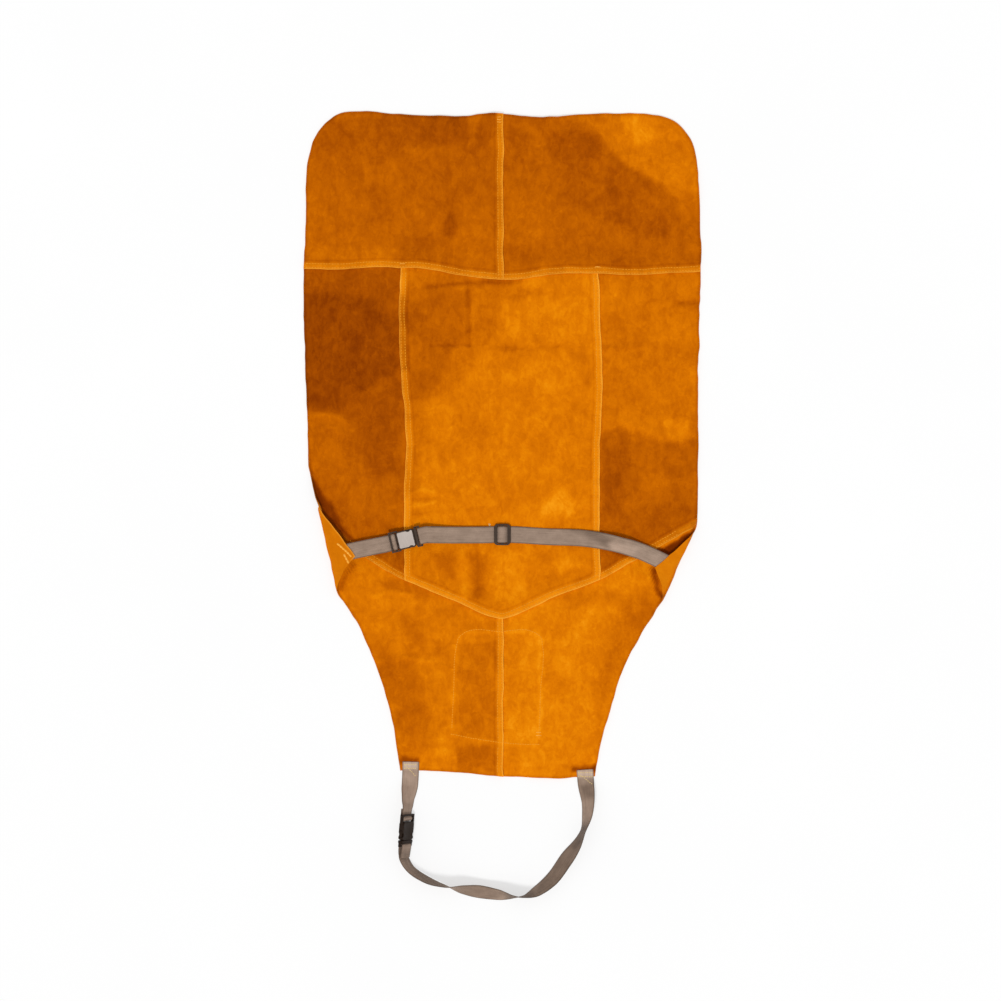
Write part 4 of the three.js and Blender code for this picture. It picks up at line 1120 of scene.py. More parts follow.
PANELS = (
    LeatherPanel(
        "pocket_flap", (0.145, 0.067), 0.0084, 0.72, ("floor",), curls=False,
    ),
    LeatherPanel(
        "chest_pocket", (0.1425, 0.164), 0.0214, 0.74, ("suede_pocket_flap",), curls=False,
    ),
    LeatherPanel(
        "bib_panel_right", (0.306, 0.394), 0.0634, 0.9, ("suede_chest_pocket",),
        (
            StainAndPaintedLight(
                0.66,
                (
                    (622, 598), (650, 588), (668, 596), (645, 632),
                    (624, 664), (608, 700), (598, 742), (596, 700), (604, 650),
                ),
                9,
            ),
            # Painted shade: a dark line under the right ear's lower curve, the dark wedge beneath the ear's
            # roll, and the shadow above the neck strap's sewn end.
            StainAndPaintedLight(0.05, ((649, 566), (656, 566), (660, 580), (664, 597), (660, 599), (654, 582)), 2.5),
            StainAndPaintedLight(-0.18, ((654, 552), (670, 544), (693, 531), (694, 536), (671, 556), (662, 562)), 2),
            StainAndPaintedLight(0.1, ((574, 765), (596, 765), (596, 771), (574, 771)), 2.5),
            StainAndPaintedLight(0.5, ((634, 612), (650, 604), (652, 618), (638, 630)), 6),
            StainAndPaintedLight(0.98, ((508, 712), (530, 708), (536, 730), (520, 742), (507, 738)), 6),
            StainAndPaintedLight(0.98, ((575, 612), (588, 614), (590, 632), (576, 636)), 6),
            StainAndPaintedLight(0.98, ((552, 655), (575, 650), (578, 672), (560, 680)), 7),
            StainAndPaintedLight(0.84, ((506, 668), (514, 665), (515, 702), (506, 704)), 4),
            StainAndPaintedLight(0.76, ((550, 596), (600, 590), (640, 596), (600, 606), (555, 604)), 5),
        ),
    ),
    LeatherPanel(
        "bib_panel_left", (0.308, 0.411), 0.0621, 0.78, ("suede_bib_panel_right",),
        (
            StainAndPaintedLight(
                0.6,
                (
                    (378, 640), (400, 652), (420, 668), (426, 700),
                    (432, 735), (420, 752), (402, 740), (392, 700), (380, 662),
                ),
                8,
            ),
            # Painted shade: the shadow above the neck strap's sewn end and a dark line under the left ear's
            # lower curve.
            StainAndPaintedLight(0.1, ((400, 757), (419, 757), (419, 763), (400, 763)), 2.5),
            StainAndPaintedLight(0.35, ((352, 560), (355, 562), (342, 588), (337, 589)), 2.5),
            StainAndPaintedLight(0.47, ((380, 658), (396, 660), (402, 685), (392, 700), (384, 680)), 6),
            StainAndPaintedLight(0.48, ((392, 712), (402, 710), (402, 728), (394, 726)), 5),
            StainAndPaintedLight(0.64, ((402, 612), (412, 616), (424, 640), (420, 652), (404, 640)), 6),
            StainAndPaintedLight(0.63, ((432, 642), (452, 640), (450, 658), (434, 658)), 5),
            StainAndPaintedLight(0.67, ((459, 645), (497, 640), (497, 738), (459, 734)), 2.5),
            StainAndPaintedLight(0.53, ((458, 748), (497, 744), (497, 772), (458, 770)), 4),
            StainAndPaintedLight(0.95, ((436, 734), (456, 736), (454, 756), (438, 754)), 5),
            StainAndPaintedLight(0.62, ((380, 578), (404, 580), (430, 592), (425, 598), (400, 592), (382, 586)), 4),
            StainAndPaintedLight(0.9, ((392, 592), (412, 596), (416, 605), (394, 603)), 4),
        ),
        (Seam.BIB_CENTRE,),
    ),
    LeatherPanel(
        "skirt_panel_left", (0.167, 0.489), 0.0682, 0.44, ("suede_bib_panel_left",),
        (
            StainAndPaintedLight(
                0.28,
                (
                    (300, 268), (402, 268), (402, 440), (385, 448),
                    (350, 442), (345, 420), (300, 410),
                ),
                8,
            ),
            StainAndPaintedLight(
                0.14,
                (
                    (300, 294), (335, 291), (372, 297), (388, 304), (398, 322), (401, 346),
                    (396, 374), (372, 385), (352, 393), (346, 409), (328, 408), (300, 402),
                ),
                5,
            ),
            StainAndPaintedLight(0.06, ((362, 310), (384, 308), (390, 322), (378, 332), (364, 326)), 5),
            StainAndPaintedLight(0.06, ((310, 322), (322, 320), (322, 334), (311, 334)), 4),
            StainAndPaintedLight(
                0.5,
                (
                    (300, 411), (322, 410), (340, 416), (352, 432),
                    (340, 430), (322, 423), (300, 424),
                ),
                3,
            ),
            StainAndPaintedLight(0.5, ((300, 440), (340, 436), (348, 456), (345, 480), (320, 484), (305, 470)), 7),
            StainAndPaintedLight(0.3, ((362, 446), (396, 440), (402, 470), (380, 478), (364, 464)), 6),
            StainAndPaintedLight(0.5, ((338, 482), (398, 480), (400, 520), (350, 512)), 8),
            StainAndPaintedLight(0.34, ((318, 492), (334, 502), (348, 530), (330, 520)), 5),
            # Painted shade in the gap under the left ear's raised upper edge.
            StainAndPaintedLight(
                -0.08,
                (
                    (306, 474), (316, 484), (338, 516), (354, 546),
                    (348, 552), (328, 524), (310, 494),
                ),
                3,
            ),
        ),
        (Seam.WAIST,),
    ),
    LeatherPanel(
        "skirt_panel_right", (0.167, 0.482), 0.0696, 0.71, ("suede_bib_panel_right",),
        (
            StainAndPaintedLight(0.68, ((604, 338), (650, 342), (650, 352), (640, 358), (604, 358)), 4),
            StainAndPaintedLight(0.7, ((650, 344), (700, 342), (700, 354), (652, 356)), 3),
            StainAndPaintedLight(0.68, ((604, 362), (622, 360), (626, 420), (604, 424)), 6),
            StainAndPaintedLight(0.6, ((660, 298), (700, 300), (700, 308), (672, 308)), 4),
            StainAndPaintedLight(
                0.46,
                (
                    (600, 434), (618, 428), (640, 436), (662, 443),
                    (690, 438), (702, 440), (702, 560), (600, 560),
                ),
                4,
            ),
            StainAndPaintedLight(0.32, ((603, 444), (628, 440), (634, 460), (622, 480), (622, 518), (604, 520)), 6),
            StainAndPaintedLight(0.57, ((640, 468), (660, 460), (668, 478), (662, 508), (644, 506)), 6),
            StainAndPaintedLight(0.38, ((620, 514), (700, 500), (700, 545), (622, 540)), 8),
            StainAndPaintedLight(0.9, ((660, 418), (690, 420), (690, 432), (664, 434)), 4),
            StainAndPaintedLight(0.4, ((604, 546), (626, 552), (612, 572), (604, 570)), 3),
            # Painted shade on the leather just below the waist strap.
            StainAndPaintedLight(0.1, ((610, 547), (640, 555), (634, 559), (614, 555)), 2.5),
        ),
        (Seam.WAIST,),
    ),
    LeatherPanel(
        "skirt_panel_centre", (0.309, 0.543), 0.1508, 0.82,
        ("suede_skirt_panel_left", "suede_skirt_panel_right"),
        (
            StainAndPaintedLight(
                0.68,
                (
                    (394, 284), (500, 286), (502, 310), (488, 345),
                    (462, 372), (450, 396), (420, 402), (394, 404),
                ),
                6,
            ),
            StainAndPaintedLight(
                0.5,
                (
                    (394, 290), (440, 289), (467, 292), (468, 345), (456, 347), (446, 362),
                    (440, 386), (430, 398), (394, 398),
                ),
                3,
            ),
            StainAndPaintedLight(0.38, ((404, 302), (420, 300), (426, 326), (416, 338), (406, 330)), 5),
            StainAndPaintedLight(0.28, ((395, 296), (406, 296), (407, 345), (408, 372), (397, 372)), 3),
            StainAndPaintedLight(0.52, ((397, 372), (408, 372), (412, 430), (411, 500), (403, 500)), 3),
            StainAndPaintedLight(0.64, ((403, 268), (432, 268), (462, 275), (474, 280), (428, 286), (403, 292)), 4),
            StainAndPaintedLight(0.4, ((412, 372), (432, 370), (438, 382), (426, 392), (412, 388)), 5),
            StainAndPaintedLight(0.55, ((424, 284), (470, 279), (512, 280), (512, 287), (470, 288), (430, 292)), 3),
            StainAndPaintedLight(0.64, ((470, 290), (520, 288), (548, 294), (520, 300), (480, 304)), 4),
            StainAndPaintedLight(0.9, ((504, 308), (570, 302), (584, 318), (575, 340), (540, 338), (505, 342)), 6),
            StainAndPaintedLight(0.9, ((506, 372), (540, 352), (566, 356), (570, 384), (540, 394), (508, 388)), 6),
            StainAndPaintedLight(0.7, ((502, 345), (532, 346), (532, 352), (502, 352)), 2.5),
            StainAndPaintedLight(0.7, ((583, 358), (592, 356), (592, 384), (584, 386)), 4),
            StainAndPaintedLight(0.72, ((409, 402), (422, 404), (424, 450), (418, 500), (410, 500)), 6),
            StainAndPaintedLight(1.02, ((540, 502), (560, 490), (572, 498), (574, 516), (542, 518)), 5),
            StainAndPaintedLight(0.77, ((452, 404), (500, 402), (500, 440), (460, 438)), 7),
            StainAndPaintedLight(0.62, ((431, 551), (456, 549), (456, 580), (442, 582)), 4),
            StainAndPaintedLight(0.6, ((470, 552), (486, 556), (486, 598), (472, 600)), 4),
            StainAndPaintedLight(0.95, ((492, 552), (526, 552), (526, 600), (508, 606), (494, 600)), 5),
            StainAndPaintedLight(0.95, ((500, 572), (512, 552), (532, 548), (530, 566), (512, 578)), 4),
            StainAndPaintedLight(0.95, ((556, 562), (568, 556), (580, 562), (560, 574)), 4),
            StainAndPaintedLight(0.64, ((572, 578), (594, 574), (596, 584), (576, 590)), 4),
        ),
        (Seam.WAIST, Seam.LEFT, Seam.RIGHT),
    ),
    LeatherPanel(
        "hem_panel_right", (0.310, 0.2525), 0.0733, 0.49,
        ("suede_skirt_panel_right", "suede_skirt_panel_centre"),
        (
            StainAndPaintedLight(
                0.41,
                (
                    (550, 124), (600, 132), (622, 162), (662, 188), (676, 212),
                    (670, 240), (648, 242), (612, 226), (570, 202), (548, 172),
                ),
                6,
            ),
            StainAndPaintedLight(
                0.75,
                (
                    (552, 112), (576, 119), (600, 130), (611, 150), (624, 163),
                    (642, 172), (664, 186), (676, 200), (702, 208), (702, 100), (552, 100),
                ),
                3.5,
            ),
            StainAndPaintedLight(0.99, ((624, 118), (652, 120), (660, 136), (648, 152), (630, 142)), 6),
            StainAndPaintedLight(0.6, ((553, 112), (600, 112), (606, 124), (584, 122)), 4),
            StainAndPaintedLight(0.6, ((664, 186), (702, 196), (702, 222), (680, 224), (674, 204)), 5),
            StainAndPaintedLight(
                0.28,
                (
                    (546, 140), (554, 132), (576, 130), (594, 135),
                    (601, 146), (600, 157), (582, 165), (564, 163), (549, 156),
                ),
                4,
            ),
            StainAndPaintedLight(
                0.29,
                (
                    (606, 168), (626, 167), (641, 176), (648, 187), (640, 196),
                    (631, 208), (642, 216), (628, 223), (604, 221), (612, 206), (605, 190),
                ),
                3.5,
            ),
            StainAndPaintedLight(0.28, ((648, 217), (663, 218), (671, 229), (663, 239), (650, 233)), 4),
            StainAndPaintedLight(0.36, ((506, 128), (524, 130), (526, 158), (512, 176), (506, 170)), 5),
            StainAndPaintedLight(0.36, ((575, 172), (592, 168), (596, 182), (580, 186)), 4),
            StainAndPaintedLight(0.4, ((508, 244), (545, 246), (545, 262), (508, 264)), 5),
            StainAndPaintedLight(0.42, ((570, 250), (620, 244), (640, 262), (580, 266)), 5),
            StainAndPaintedLight(0.56, ((505, 180), (545, 185), (560, 235), (530, 245), (506, 240)), 10),
        ),
        (Seam.CROSS,),
    ),
    LeatherPanel(
        "hem_panel_left", (0.303, 0.2545), 0.0699, 0.5,
        ("suede_skirt_panel_left", "suede_skirt_panel_centre"),
        (
            StainAndPaintedLight(
                0.35,
                (
                    (325, 120), (400, 112), (490, 112), (490, 158), (455, 150),
                    (430, 146), (400, 150), (372, 163), (345, 158), (318, 150),
                ),
                6,
            ),
            StainAndPaintedLight(0.27, ((400, 110), (470, 112), (472, 140), (440, 146), (404, 138)), 5),
            StainAndPaintedLight(0.42, ((400, 150), (494, 150), (494, 200), (440, 210), (404, 200)), 8),
            StainAndPaintedLight(0.3, ((446, 190), (458, 186), (456, 236), (446, 238)), 4),
            StainAndPaintedLight(0.4, ((370, 186), (384, 184), (386, 222), (372, 222)), 5),
            StainAndPaintedLight(0.4, ((400, 236), (432, 236), (436, 262), (402, 264)), 6),
            StainAndPaintedLight(0.6, ((306, 170), (318, 168), (320, 235), (306, 240)), 6),
            StainAndPaintedLight(0.62, ((306, 246), (395, 248), (395, 262), (306, 262)), 4),
            StainAndPaintedLight(0.6, ((462, 226), (482, 224), (490, 262), (464, 262)), 6),
            StainAndPaintedLight(0.58, ((470, 114), (482, 113), (476, 142), (468, 146)), 3.5),
        ),
        (Seam.CROSS, Seam.HEM_CENTRE),
    ),
)


# Webbing


@dataclass
class WebbingStrap:
    """A webbing strap, woven finer along its CAD solid."""

    node: str
    step: float = 2.2
    columns: int = 11
    width: float = 25.0
    thickness: float = 1.4
    stains_and_painted_light: tuple[StainAndPaintedLight, ...] = ()

    def build(self) -> bpy.types.Object:
        """Makes the strap's mesh, with its place along and across the tape as attributes."""
        rings = self.rings()
        middles = rings.mean(axis=1)
        across = rings[:, 1] + rings[:, 2] - rings[:, 0] - rings[:, 3]
        across /= np.linalg.norm(across, axis=1)[:, None]
        rows = smooth_path(np.column_stack([middles, across]), self.step * MM)
        places, side = rows[:, :3], rows[:, 3:]
        tangent = np.gradient(places, axis=0)
        tangent /= np.linalg.norm(tangent, axis=1)[:, None]
        side -= (side * tangent).sum(axis=1)[:, None] * tangent
        side /= np.linalg.norm(side, axis=1)[:, None]
        up = np.cross(side, tangent)
        spans = np.linalg.norm(np.diff(places, axis=0), axis=1)
        along = np.concatenate([[0.0], np.cumsum(spans)]) / MM
        section = self.section()
        vertices = (
            places[:, None]
            + section[None, :, :1] * MM * side[:, None]
            + section[None, :, 1:] * MM * up[:, None]
        ).reshape(-1, 3)
        thing = new_object("webbing_" + self.node, vertices, self.faces(len(places), len(section)))
        set_attribute(thing, "along", np.repeat(along, len(section)))
        set_attribute(thing, "across", np.tile(section[:, 0], len(places)))
        soil = sum((tone_patch.tone * tone_patch.weight(vertices) for tone_patch in self.stains_and_painted_light), np.zeros(len(vertices)))
        set_attribute(thing, "soil", soil)
        make_active(thing)
        bpy.ops.object.mode_set(mode="EDIT")
        bpy.ops.mesh.select_all(action="SELECT")
        bpy.ops.mesh.normals_make_consistent(inside=False)
        bpy.ops.object.mode_set(mode="OBJECT")
        smooth_shading(thing, 60.0)
        return thing

    def section(self) -> np.ndarray:
        """Across and up of the points round the tape, in millimetres."""
        share = np.linspace(-1.0, 1.0, self.columns)
        half = self.width / 2
        edge = np.clip((np.abs(share) - 0.82) / 0.18, 0.0, 1.0)
        rise = self.thickness / 2 * np.sqrt(1.0 - (1.0 - 0.35**2) * edge**2)
        rise += 0.06 * np.cos(share * math.pi * 3)
        top = np.column_stack([share * half, rise])
        low = np.column_stack([share * half, -rise])[::-1]
        return np.concatenate([top, low])

    @staticmethod
    def faces(stations: int, points: int) -> list[list[int]]:
        """Faces of a tube of rings and of its two ends.

        Args:
            stations: Number of rings.
            points: Points of a ring, the upper half first.

        Returns:
            Lists of vertex numbers.
        """
        found = []
        for i in range(stations - 1):
            for k in range(points):
                after = (k + 1) % points
                near, far = i * points, (i + 1) * points
                found.append([near + k, near + after, far + after, far + k])
        for ring in (0, (stations - 1) * points):
            for k in range(points // 2 - 1):
                mirror = points - 1 - k
                found.append([ring + k, ring + k + 1, ring + mirror - 1, ring + mirror])
        return found

    def rings(self) -> np.ndarray:
        """Corners of the CAD strap's sections in order, as stations by four by three."""
        shape = welded_node(self.node)
        ends = {vertex for vertex in shape.verts if len(vertex.link_edges) == 3}
        cap = next(face for face in shape.faces if set(face.verts) <= ends)
        ring = list(cap.verts)
        if (ring[0].co - ring[1].co).length < self.width / 2 * MM:
            ring = ring[1:] + ring[:1]
        used: set[bmesh.types.BMVert] = set()
        found = []
        while ring:
            used.update(ring)
            found.append([vertex.co[:] for vertex in ring])
            ring = [self.next_corner(vertex, used) for vertex in ring]
            ring = [] if None in ring else ring
        count = len(shape.verts)
        shape.free()
        if 4 * len(found) != count:
            raise ValueError(f"{self.node}: {len(found)} sections for {count} corners")
        return np.array(found)

    @staticmethod
    def next_corner(vertex: bmesh.types.BMVert, used: set) -> bmesh.types.BMVert | None:
        """The corner after a corner along the strap, or none at its end."""
        others = [edge.other_vert(vertex) for edge in vertex.link_edges]
        ahead = [other for other in others if other not in used]
        return ahead[0] if ahead else None

    def dress(self, thing: bpy.types.Object, material: bpy.types.Material) -> None:
        """Finishes the strap."""
        finish_piece(thing, material, "webbing", self.node)


STRAPS = (
    WebbingStrap(
        "neck_strap_left",
        stains_and_painted_light=(
            StainAndPaintedLight(0.9, ((402, 762), (418, 762), (418, 769), (402, 769)), 2.5),
            StainAndPaintedLight(0.25, ((400, 771), (420, 771), (420, 802), (400, 802)), 4),
        ),
    ),
    WebbingStrap(
        "neck_strap",
        stains_and_painted_light=(
            StainAndPaintedLight(0.9, ((575, 770), (595, 770), (595, 777), (575, 777)), 2.5),
            StainAndPaintedLight(-0.6, ((580, 786), (592, 784), (594, 796), (584, 798)), 4),
            # Painted shade: dark patches at the strap's pinches and inside its folds.
            StainAndPaintedLight(-0.9, ((574, 824), (592, 822), (590, 840), (574, 846)), 5),
            StainAndPaintedLight(-0.5, ((540, 856), (572, 838), (584, 852), (556, 890), (534, 896)), 6),
            StainAndPaintedLight(-0.9, ((508, 888), (532, 892), (530, 904), (506, 902)), 5),
            StainAndPaintedLight(-0.5, ((400, 850), (412, 850), (446, 880), (446, 892), (424, 884)), 5),
            StainAndPaintedLight(-0.35, ((456, 876), (490, 876), (508, 892), (480, 904), (448, 894)), 4),
        ),
    ),
    WebbingStrap("waist_strap_left"),
    WebbingStrap(
        "waist_strap",
        stains_and_painted_light=(
            # Painted shade and painted highlights where the strap twists: a dark wedge along its upper edge,
            # lighter faces to its right.
            StainAndPaintedLight(-0.5, ((572, 529), (600, 531), (613, 539), (606, 546), (590, 538)), 4),
            StainAndPaintedLight(0.4, ((608, 543), (624, 544), (638, 549), (632, 556), (612, 550)), 3),
            StainAndPaintedLight(0.2, ((634, 545), (652, 551), (668, 565), (656, 569), (636, 557)), 4),
        ),
    ),
)


# Plastic


class Face(Enum):
    """How a moulded piece's main face is finished."""

    PLAIN = "plain"
    PRESSED = "pressed"


@dataclass
class MouldedPiece:
    """A moulded buckle half or slider: its CAD solid with eased edges and, on a socket, a sunk face."""

    node: str
    face: Face = Face.PLAIN
    up: tuple[float, float, float] = (0.0, 0.0, 1.0)
    ease: float = 0.55
    border: float = 1.3
    sunk: float = 0.35
    bolder: float = 0.0

    def build(self) -> bpy.types.Object:
        """Makes the piece's mesh with eased edges."""
        shape = welded_node(self.node, quads=False)
        if self.bolder:
            self.thicken(shape)
        bmesh.ops.dissolve_limit(
            shape, angle_limit=math.radians(1.0), verts=shape.verts[:], edges=shape.edges[:]
        )
        thing = settle("moulded_" + self.node, shape)
        set_attribute(thing, "face", np.zeros(len(thing.data.polygons)), "FACE")
        if self.face is Face.PRESSED:
            self.press_face(thing)
        apply_modifier(
            thing, "BEVEL", width=self.ease * MM, segments=3, limit_method="ANGLE",
            angle_limit=math.radians(35), use_clamp_overlap=True,
        )
        smooth_shading(thing, 40.0)
        return thing

    def thicken(self, shape: bmesh.types.BMesh) -> None:
        """Makes the outer bars of a slider bolder, outwards and into its windows."""
        low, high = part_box(self.node)
        middle, half = (Vector(low) + Vector(high)) / 2, (Vector(high) - Vector(low)) / 2
        for vertex in shape.verts:
            across, along = vertex.co.x - middle.x, vertex.co.y - middle.y
            side = math.copysign(self.bolder * MM, across)
            if abs(across) > 0.82 * half.x or abs(along) > 0.86 * half.y:
                vertex.co.x += side * abs(across) / half.x
            elif abs(across) > 0.5 * half.x:
                vertex.co.x -= side

    def press_face(self, thing: bpy.types.Object) -> None:
        """Sinks the broad face by an inset, and marks it."""
        mesh = thing.data
        up = Vector(self.up)
        broad = max(
            (polygon for polygon in mesh.polygons if polygon.normal.dot(up) > 0.98),
            key=lambda polygon: polygon.area,
        ).index
        make_active(thing)
        bpy.ops.object.mode_set(mode="EDIT")
        bpy.ops.mesh.select_mode(type="FACE")
        bpy.ops.mesh.select_all(action="DESELECT")
        bpy.ops.object.mode_set(mode="OBJECT")
        mesh.polygons[broad].select = True
        bpy.ops.object.mode_set(mode="EDIT")
        bpy.ops.mesh.inset(thickness=self.border * MM, depth=-self.sunk * MM)
        bpy.ops.object.mode_set(mode="OBJECT")
        # The marked face takes the plastic's face colour, on the waist socket a painted reflection.
        marked = [1.0 if polygon.select else 0.0 for polygon in mesh.polygons]
        set_attribute(thing, "face", np.array(marked), "FACE")

    def dress(self, thing: bpy.types.Object, material: bpy.types.Material) -> None:
        """Finishes the piece."""
        finish_piece(thing, material, "plastic", self.node)


NECK_UP = (0.8454, -0.0665, 0.5299)
MOULDED = (
    MouldedPiece("waist_buckle_socket", Face.PRESSED),
    MouldedPiece("waist_buckle_prong"),
    MouldedPiece("neck_buckle_socket", Face.PRESSED, NECK_UP),
    MouldedPiece("neck_buckle_prong"),
    MouldedPiece("waist_slider", ease=0.8, bolder=1.1),
)


# Stitches


@dataclass
class Ground:
    """The finished leather and webbing, to lay stitches on."""

    trees: list[BVHTree] = field(default_factory=list)

    def add(self, thing: bpy.types.Object) -> None:
        """Adds a piece to the ground."""
        self.trees.append(BVHTree.FromObject(thing, bpy.context.evaluated_depsgraph_get()))

    def under(self, place: Point) -> tuple[Vector, Vector]:
        """Highest point of the ground at a place, and its normal."""
        best, normal = Vector((*place, 0.0)), Vector((0.0, 0.0, 1.0))
        for tree in self.trees:
            hit, facing, _, _ = tree.ray_cast(Vector((*place, 0.1)), Vector((0.0, 0.0, -1.0)))
            if hit is not None and hit.z > best.z:
                best, normal = hit, facing
        return best, normal


@dataclass
class StitchRun:
    """Rows of stitches of one kind in one mesh."""

    name: str
    rows: list[np.ndarray]
    pitch: float = 4.3
    length: float = 3.6
    width: float = 1.15
    height: float = 0.8
    highest: float = 60.0

    def build(self, ground: Ground) -> bpy.types.Object:
        """Lays copies of one stitch along the rows.

        Args:
            ground: What the stitches lie on.

        Returns:
            The stitches as one object.
        """
        shape, faces = self.one_stitch()
        vertices, polygons = [], []
        rng = np.random.default_rng(sum(map(ord, self.name)))
        for row in self.rows:
            line = smooth_path(np.column_stack([row, np.zeros(len(row))]), self.pitch * MM)[:, :2]
            for start, end in zip(line[:-1], line[1:]):
                middle = (start + end) / 2 + rng.normal(0.0, 0.12 * MM, 2)
                place, normal = ground.under((float(middle[0]), float(middle[1])))
                if place.z > self.highest * MM:
                    continue
                ahead = Vector((*(end - start), 0.0))
                ahead = (ahead - normal * ahead.dot(normal)).normalized()
                aside = normal.cross(ahead)
                turn = np.array([ahead, aside, normal])
                base = sum(map(len, vertices))
                vertices.append(shape @ turn + np.array(place))
                polygons.extend([[base + index for index in face] for face in faces])
        thing = new_object(self.name, np.concatenate(vertices), polygons)
        smooth_shading(thing, 70.0)
        return thing

    def one_stitch(self) -> tuple[np.ndarray, list[list[int]]]:
        """Points and faces of one stitch: a small ball drawn out, its ends pulled down."""
        deselect_all()
        along_x = (0.0, math.pi / 2, 0.0)
        bpy.ops.mesh.primitive_uv_sphere_add(segments=6, ring_count=6, radius=0.5, rotation=along_x)
        ball = bpy.context.active_object
        bpy.ops.object.transform_apply(location=True, rotation=True, scale=True)
        points = coordinates(ball) * np.array([self.length, self.width, self.height]) * MM
        share = np.abs(points[:, 0]) / (self.length / 2 * MM)
        points[:, 2] += (0.22 - 0.55 * share**2) * self.height * MM
        faces = [list(polygon.vertices) for polygon in ball.data.polygons]
        bpy.data.objects.remove(ball)
        return points, faces


@dataclass
class Stitching:
    """Where the apron's rows of stitches run."""

    offsets: tuple[float, float] = (2.8, 8.2)
    pocket: tuple[Point, ...] = (
        (451.6, 728), (453.6, 690), (457, 645), (459, 637), (466, 631.8), (500, 631.4), (533, 631.8),
        (540, 637), (542, 646), (540.8, 690), (539.2, 738),
    )
    flap: tuple[Point, ...] = ((450, 733.4), (472, 737.6), (497, 741.4), (520, 743), (540, 744))
    corner_strokes: tuple[tuple[Point, Point], ...] = (
        ((337.5, 543.5), (345, 549.5)), ((345, 549.5), (352, 556.5)), ((344.5, 554), (349, 563)),
    )
    tacks: tuple[tuple[Point, Point], ...] = (
        ((497, 117.5), (501, 117.5)), ((497, 120), (501, 120)), ((497, 122.5), (501, 122.5)),
        ((536, 732), (541, 732)), ((536, 735), (541, 735)),
        ((400, 264), (405, 264)), ((595, 267), (600, 267)),
    )
    strap_ends: tuple[tuple[Point, Point], ...] = (
        ((404, 764.3), (416.5, 764.3)), ((404, 768), (416.5, 768)), ((404.6, 764), (416, 776)),
        ((577.5, 772.4), (593, 772.4)), ((577.5, 776.3), (593, 776.3)), ((578, 773), (592.5, 784)),
    )
    loose_end: tuple[tuple[Point, Point], ...] = (
        ((487.6, 528), (491.4, 523)), ((488.4, 523.4), (491, 527.4)), ((489.8, 522.6), (490, 528.4)),
    )

    def panel_rows(self) -> list[np.ndarray]:
        """Pairs of rows along the laps."""
        paths = [seam.path(sewn=True) for seam in Seam]
        return [offset_path(path, distance * MM) for path in paths for distance in self.offsets]

    def pocket_rows(self) -> list[np.ndarray]:
        """Rows round the chest pocket and across its flap, on the back of the bib."""
        return [pixels(*self.pocket), pixels(*self.flap)]

    @staticmethod
    def strokes(ends: tuple[tuple[Point, Point], ...]) -> list[np.ndarray]:
        """Straight rows between pairs of pixels."""
        return [pixels(*pair) for pair in ends]


# The whole


@dataclass
class Apron:
    """The dressed apron."""

    leather: Ground = field(default_factory=Ground)
    webbing: Ground = field(default_factory=Ground)
    relief: LaidRelief = field(default_factory=LaidRelief)

    def build_leather(self) -> None:
        """Cuts the panels, then lays and dresses them, lowest first."""
        material = SuedeFinish().material()
        for panel in PANELS:
            panel.cut()
        self.relief.find_outline(PANELS)
        for panel in PANELS:
            self.leather.add(panel.lay(self.relief))
            panel.dress(material)

    def build_webbing(self) -> None:
        """Builds and dresses the straps."""
        material = WebbingFinish().material()
        for strap in STRAPS:
            thing = strap.build()
            self.webbing.add(thing)
            strap.dress(thing, material)

    def build_plastic(self) -> None:
        """Builds and dresses the buckles and the slider."""
        # The waist socket's light-grey face is a painted reflection of the studio light.
        light = PlasticFinish("light_faced_plastic").material()
        dark = PlasticFinish("dark_plastic", face=tint(60, 48, 40)).material()
        shades = (tint(33, 23, 17), tint(52, 39, 30), tint(37, 27, 20))
        black = PlasticFinish("black_plastic", *shades).material()
        for piece in MOULDED:
            other = black if piece.node.startswith("neck") else dark
            piece.dress(piece.build(), light if piece.node == "waist_buckle_socket" else other)

    def build_stitches(self) -> None:
        """Builds and dresses the rows of stitches."""
        plan = Stitching()
        seam_rows = [row + self.relief.stray(row) for row in plan.panel_rows()]
        pocket_rows = [row + self.relief.stray(row) for row in plan.pocket_rows()]
        tan = ThreadFinish("tan_thread", tint(226, 136, 20), tint(244, 166, 50)).material()
        orange = ThreadFinish("orange_thread", tint(234, 150, 40), tint(248, 184, 82)).material()
        pale = ThreadFinish("pale_thread", tint(206, 176, 110), tint(238, 214, 160)).material()
        thick = {"pitch": 5.2, "length": 6.4, "width": 3.0, "height": 1.3}
        runs = [
            (StitchRun("seam_stitches", seam_rows, highest=8.0), self.leather, tan),
            (StitchRun("pocket_stitches", pocket_rows, 3.8, 3.3, 1.3), self.leather, tan),
            (StitchRun("corner_stitches", plan.strokes(plan.corner_strokes), **thick), self.leather, orange),
            (StitchRun("tacks", plan.strokes(plan.tacks), 3.0, 3.4, 1.3), self.leather, orange),
            (StitchRun("strap_end_stitches", plan.strokes(plan.strap_ends), 3.4, 2.8), self.webbing, pale),
            (StitchRun("loose_thread", plan.strokes(plan.loose_end), 9.0, 8.0, 0.9), self.leather, pale),
        ]
        for run, ground, material in runs:
            finish_piece(run.build(ground), material, None)


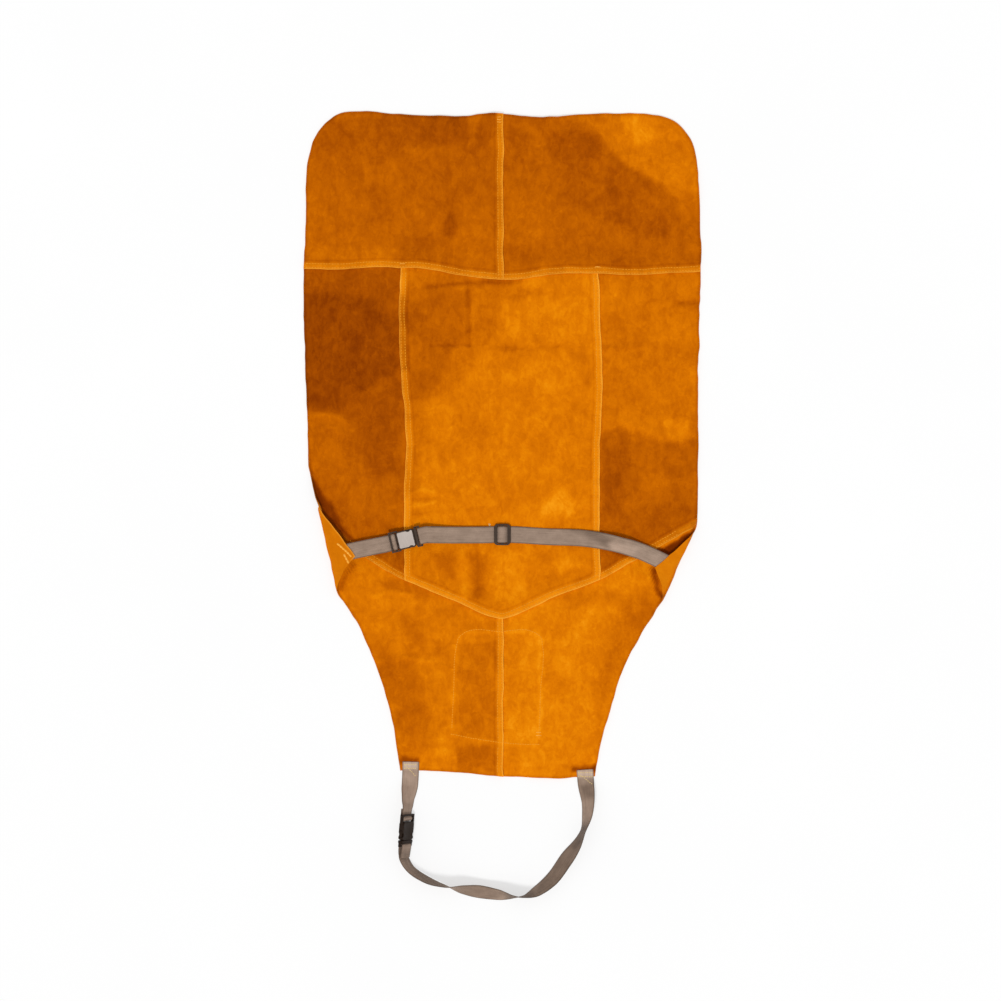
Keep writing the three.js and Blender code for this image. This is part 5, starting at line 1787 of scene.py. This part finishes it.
@dataclass
class Studio:
    """Pale floor, soft light and the camera straight above."""

    floor_size: float = 60.0
    camera_height: float = 4.0
    sensor: float = 36.0
    sky: float = 0.58
    key_power: float = 1.75
    key_from: tuple[float, float, float] = (-0.15, -0.47, 0.87)
    key_spread: float = 12.0
    floor_drop: float = 0.2

    def build(self) -> None:
        """Sets up the floor, the lights and the camera."""
        self.lay_floor()
        self.light()
        self.aim_camera()

    def lay_floor(self) -> None:
        """Lays the floor just under the apron."""
        deselect_all()
        bpy.ops.mesh.primitive_plane_add(size=self.floor_size)
        floor = bpy.context.active_object
        floor.name = "floor"
        bpy.ops.object.mode_set(mode="EDIT")
        bpy.ops.mesh.subdivide(number_cuts=7)
        bpy.ops.transform.translate(value=(0.0, 0.0, -self.floor_drop * MM))
        bpy.ops.object.mode_set(mode="OBJECT")
        floor.data.materials.append(FloorFinish().material())

    def light(self) -> None:
        """Sets an even sky and one soft, far key light from the bib's end."""
        world = bpy.data.worlds.new("studio")
        bpy.context.scene.world = world
        world.use_nodes = True
        background = world.node_tree.nodes["Background"]
        background.inputs["Color"].default_value = (1.0, 1.0, 1.0, 1.0)
        background.inputs["Strength"].default_value = self.sky
        lamp = bpy.data.lights.new("key", "SUN")
        lamp.energy = self.key_power
        lamp.angle = math.radians(self.key_spread)
        key = bpy.data.objects.new("key", lamp)
        key.location = Vector(self.key_from) * self.camera_height
        key.rotation_euler = (-Vector(self.key_from)).to_track_quat("-Z", "Y").to_euler()
        bpy.context.scene.collection.objects.link(key)
        bpy.context.scene.view_settings.view_transform = "Standard"

    def aim_camera(self) -> None:
        """Hangs the camera over the middle of the photograph's frame, hem at the top."""
        lens = bpy.data.cameras.new("camera")
        lens.sensor_width = self.sensor
        lens.lens = self.sensor * self.camera_height / (FRAME_PIXELS * PIXEL)
        camera = bpy.data.objects.new("camera", lens)
        camera.location = (*spot(FRAME_PIXELS / 2, FRAME_PIXELS / 2), self.camera_height)
        bpy.context.scene.collection.objects.link(camera)
        bpy.context.scene.camera = camera


def main() -> None:
    """Builds the apron and its studio, piece by piece."""
    logging.basicConfig(level=logging.INFO, format="%(name)s: %(message)s")
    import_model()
    Studio().build()
    apron = Apron()
    apron.build_leather()
    apron.build_webbing()
    apron.build_plastic()
    apron.build_stitches()


if __name__ == "__main__":
    main()
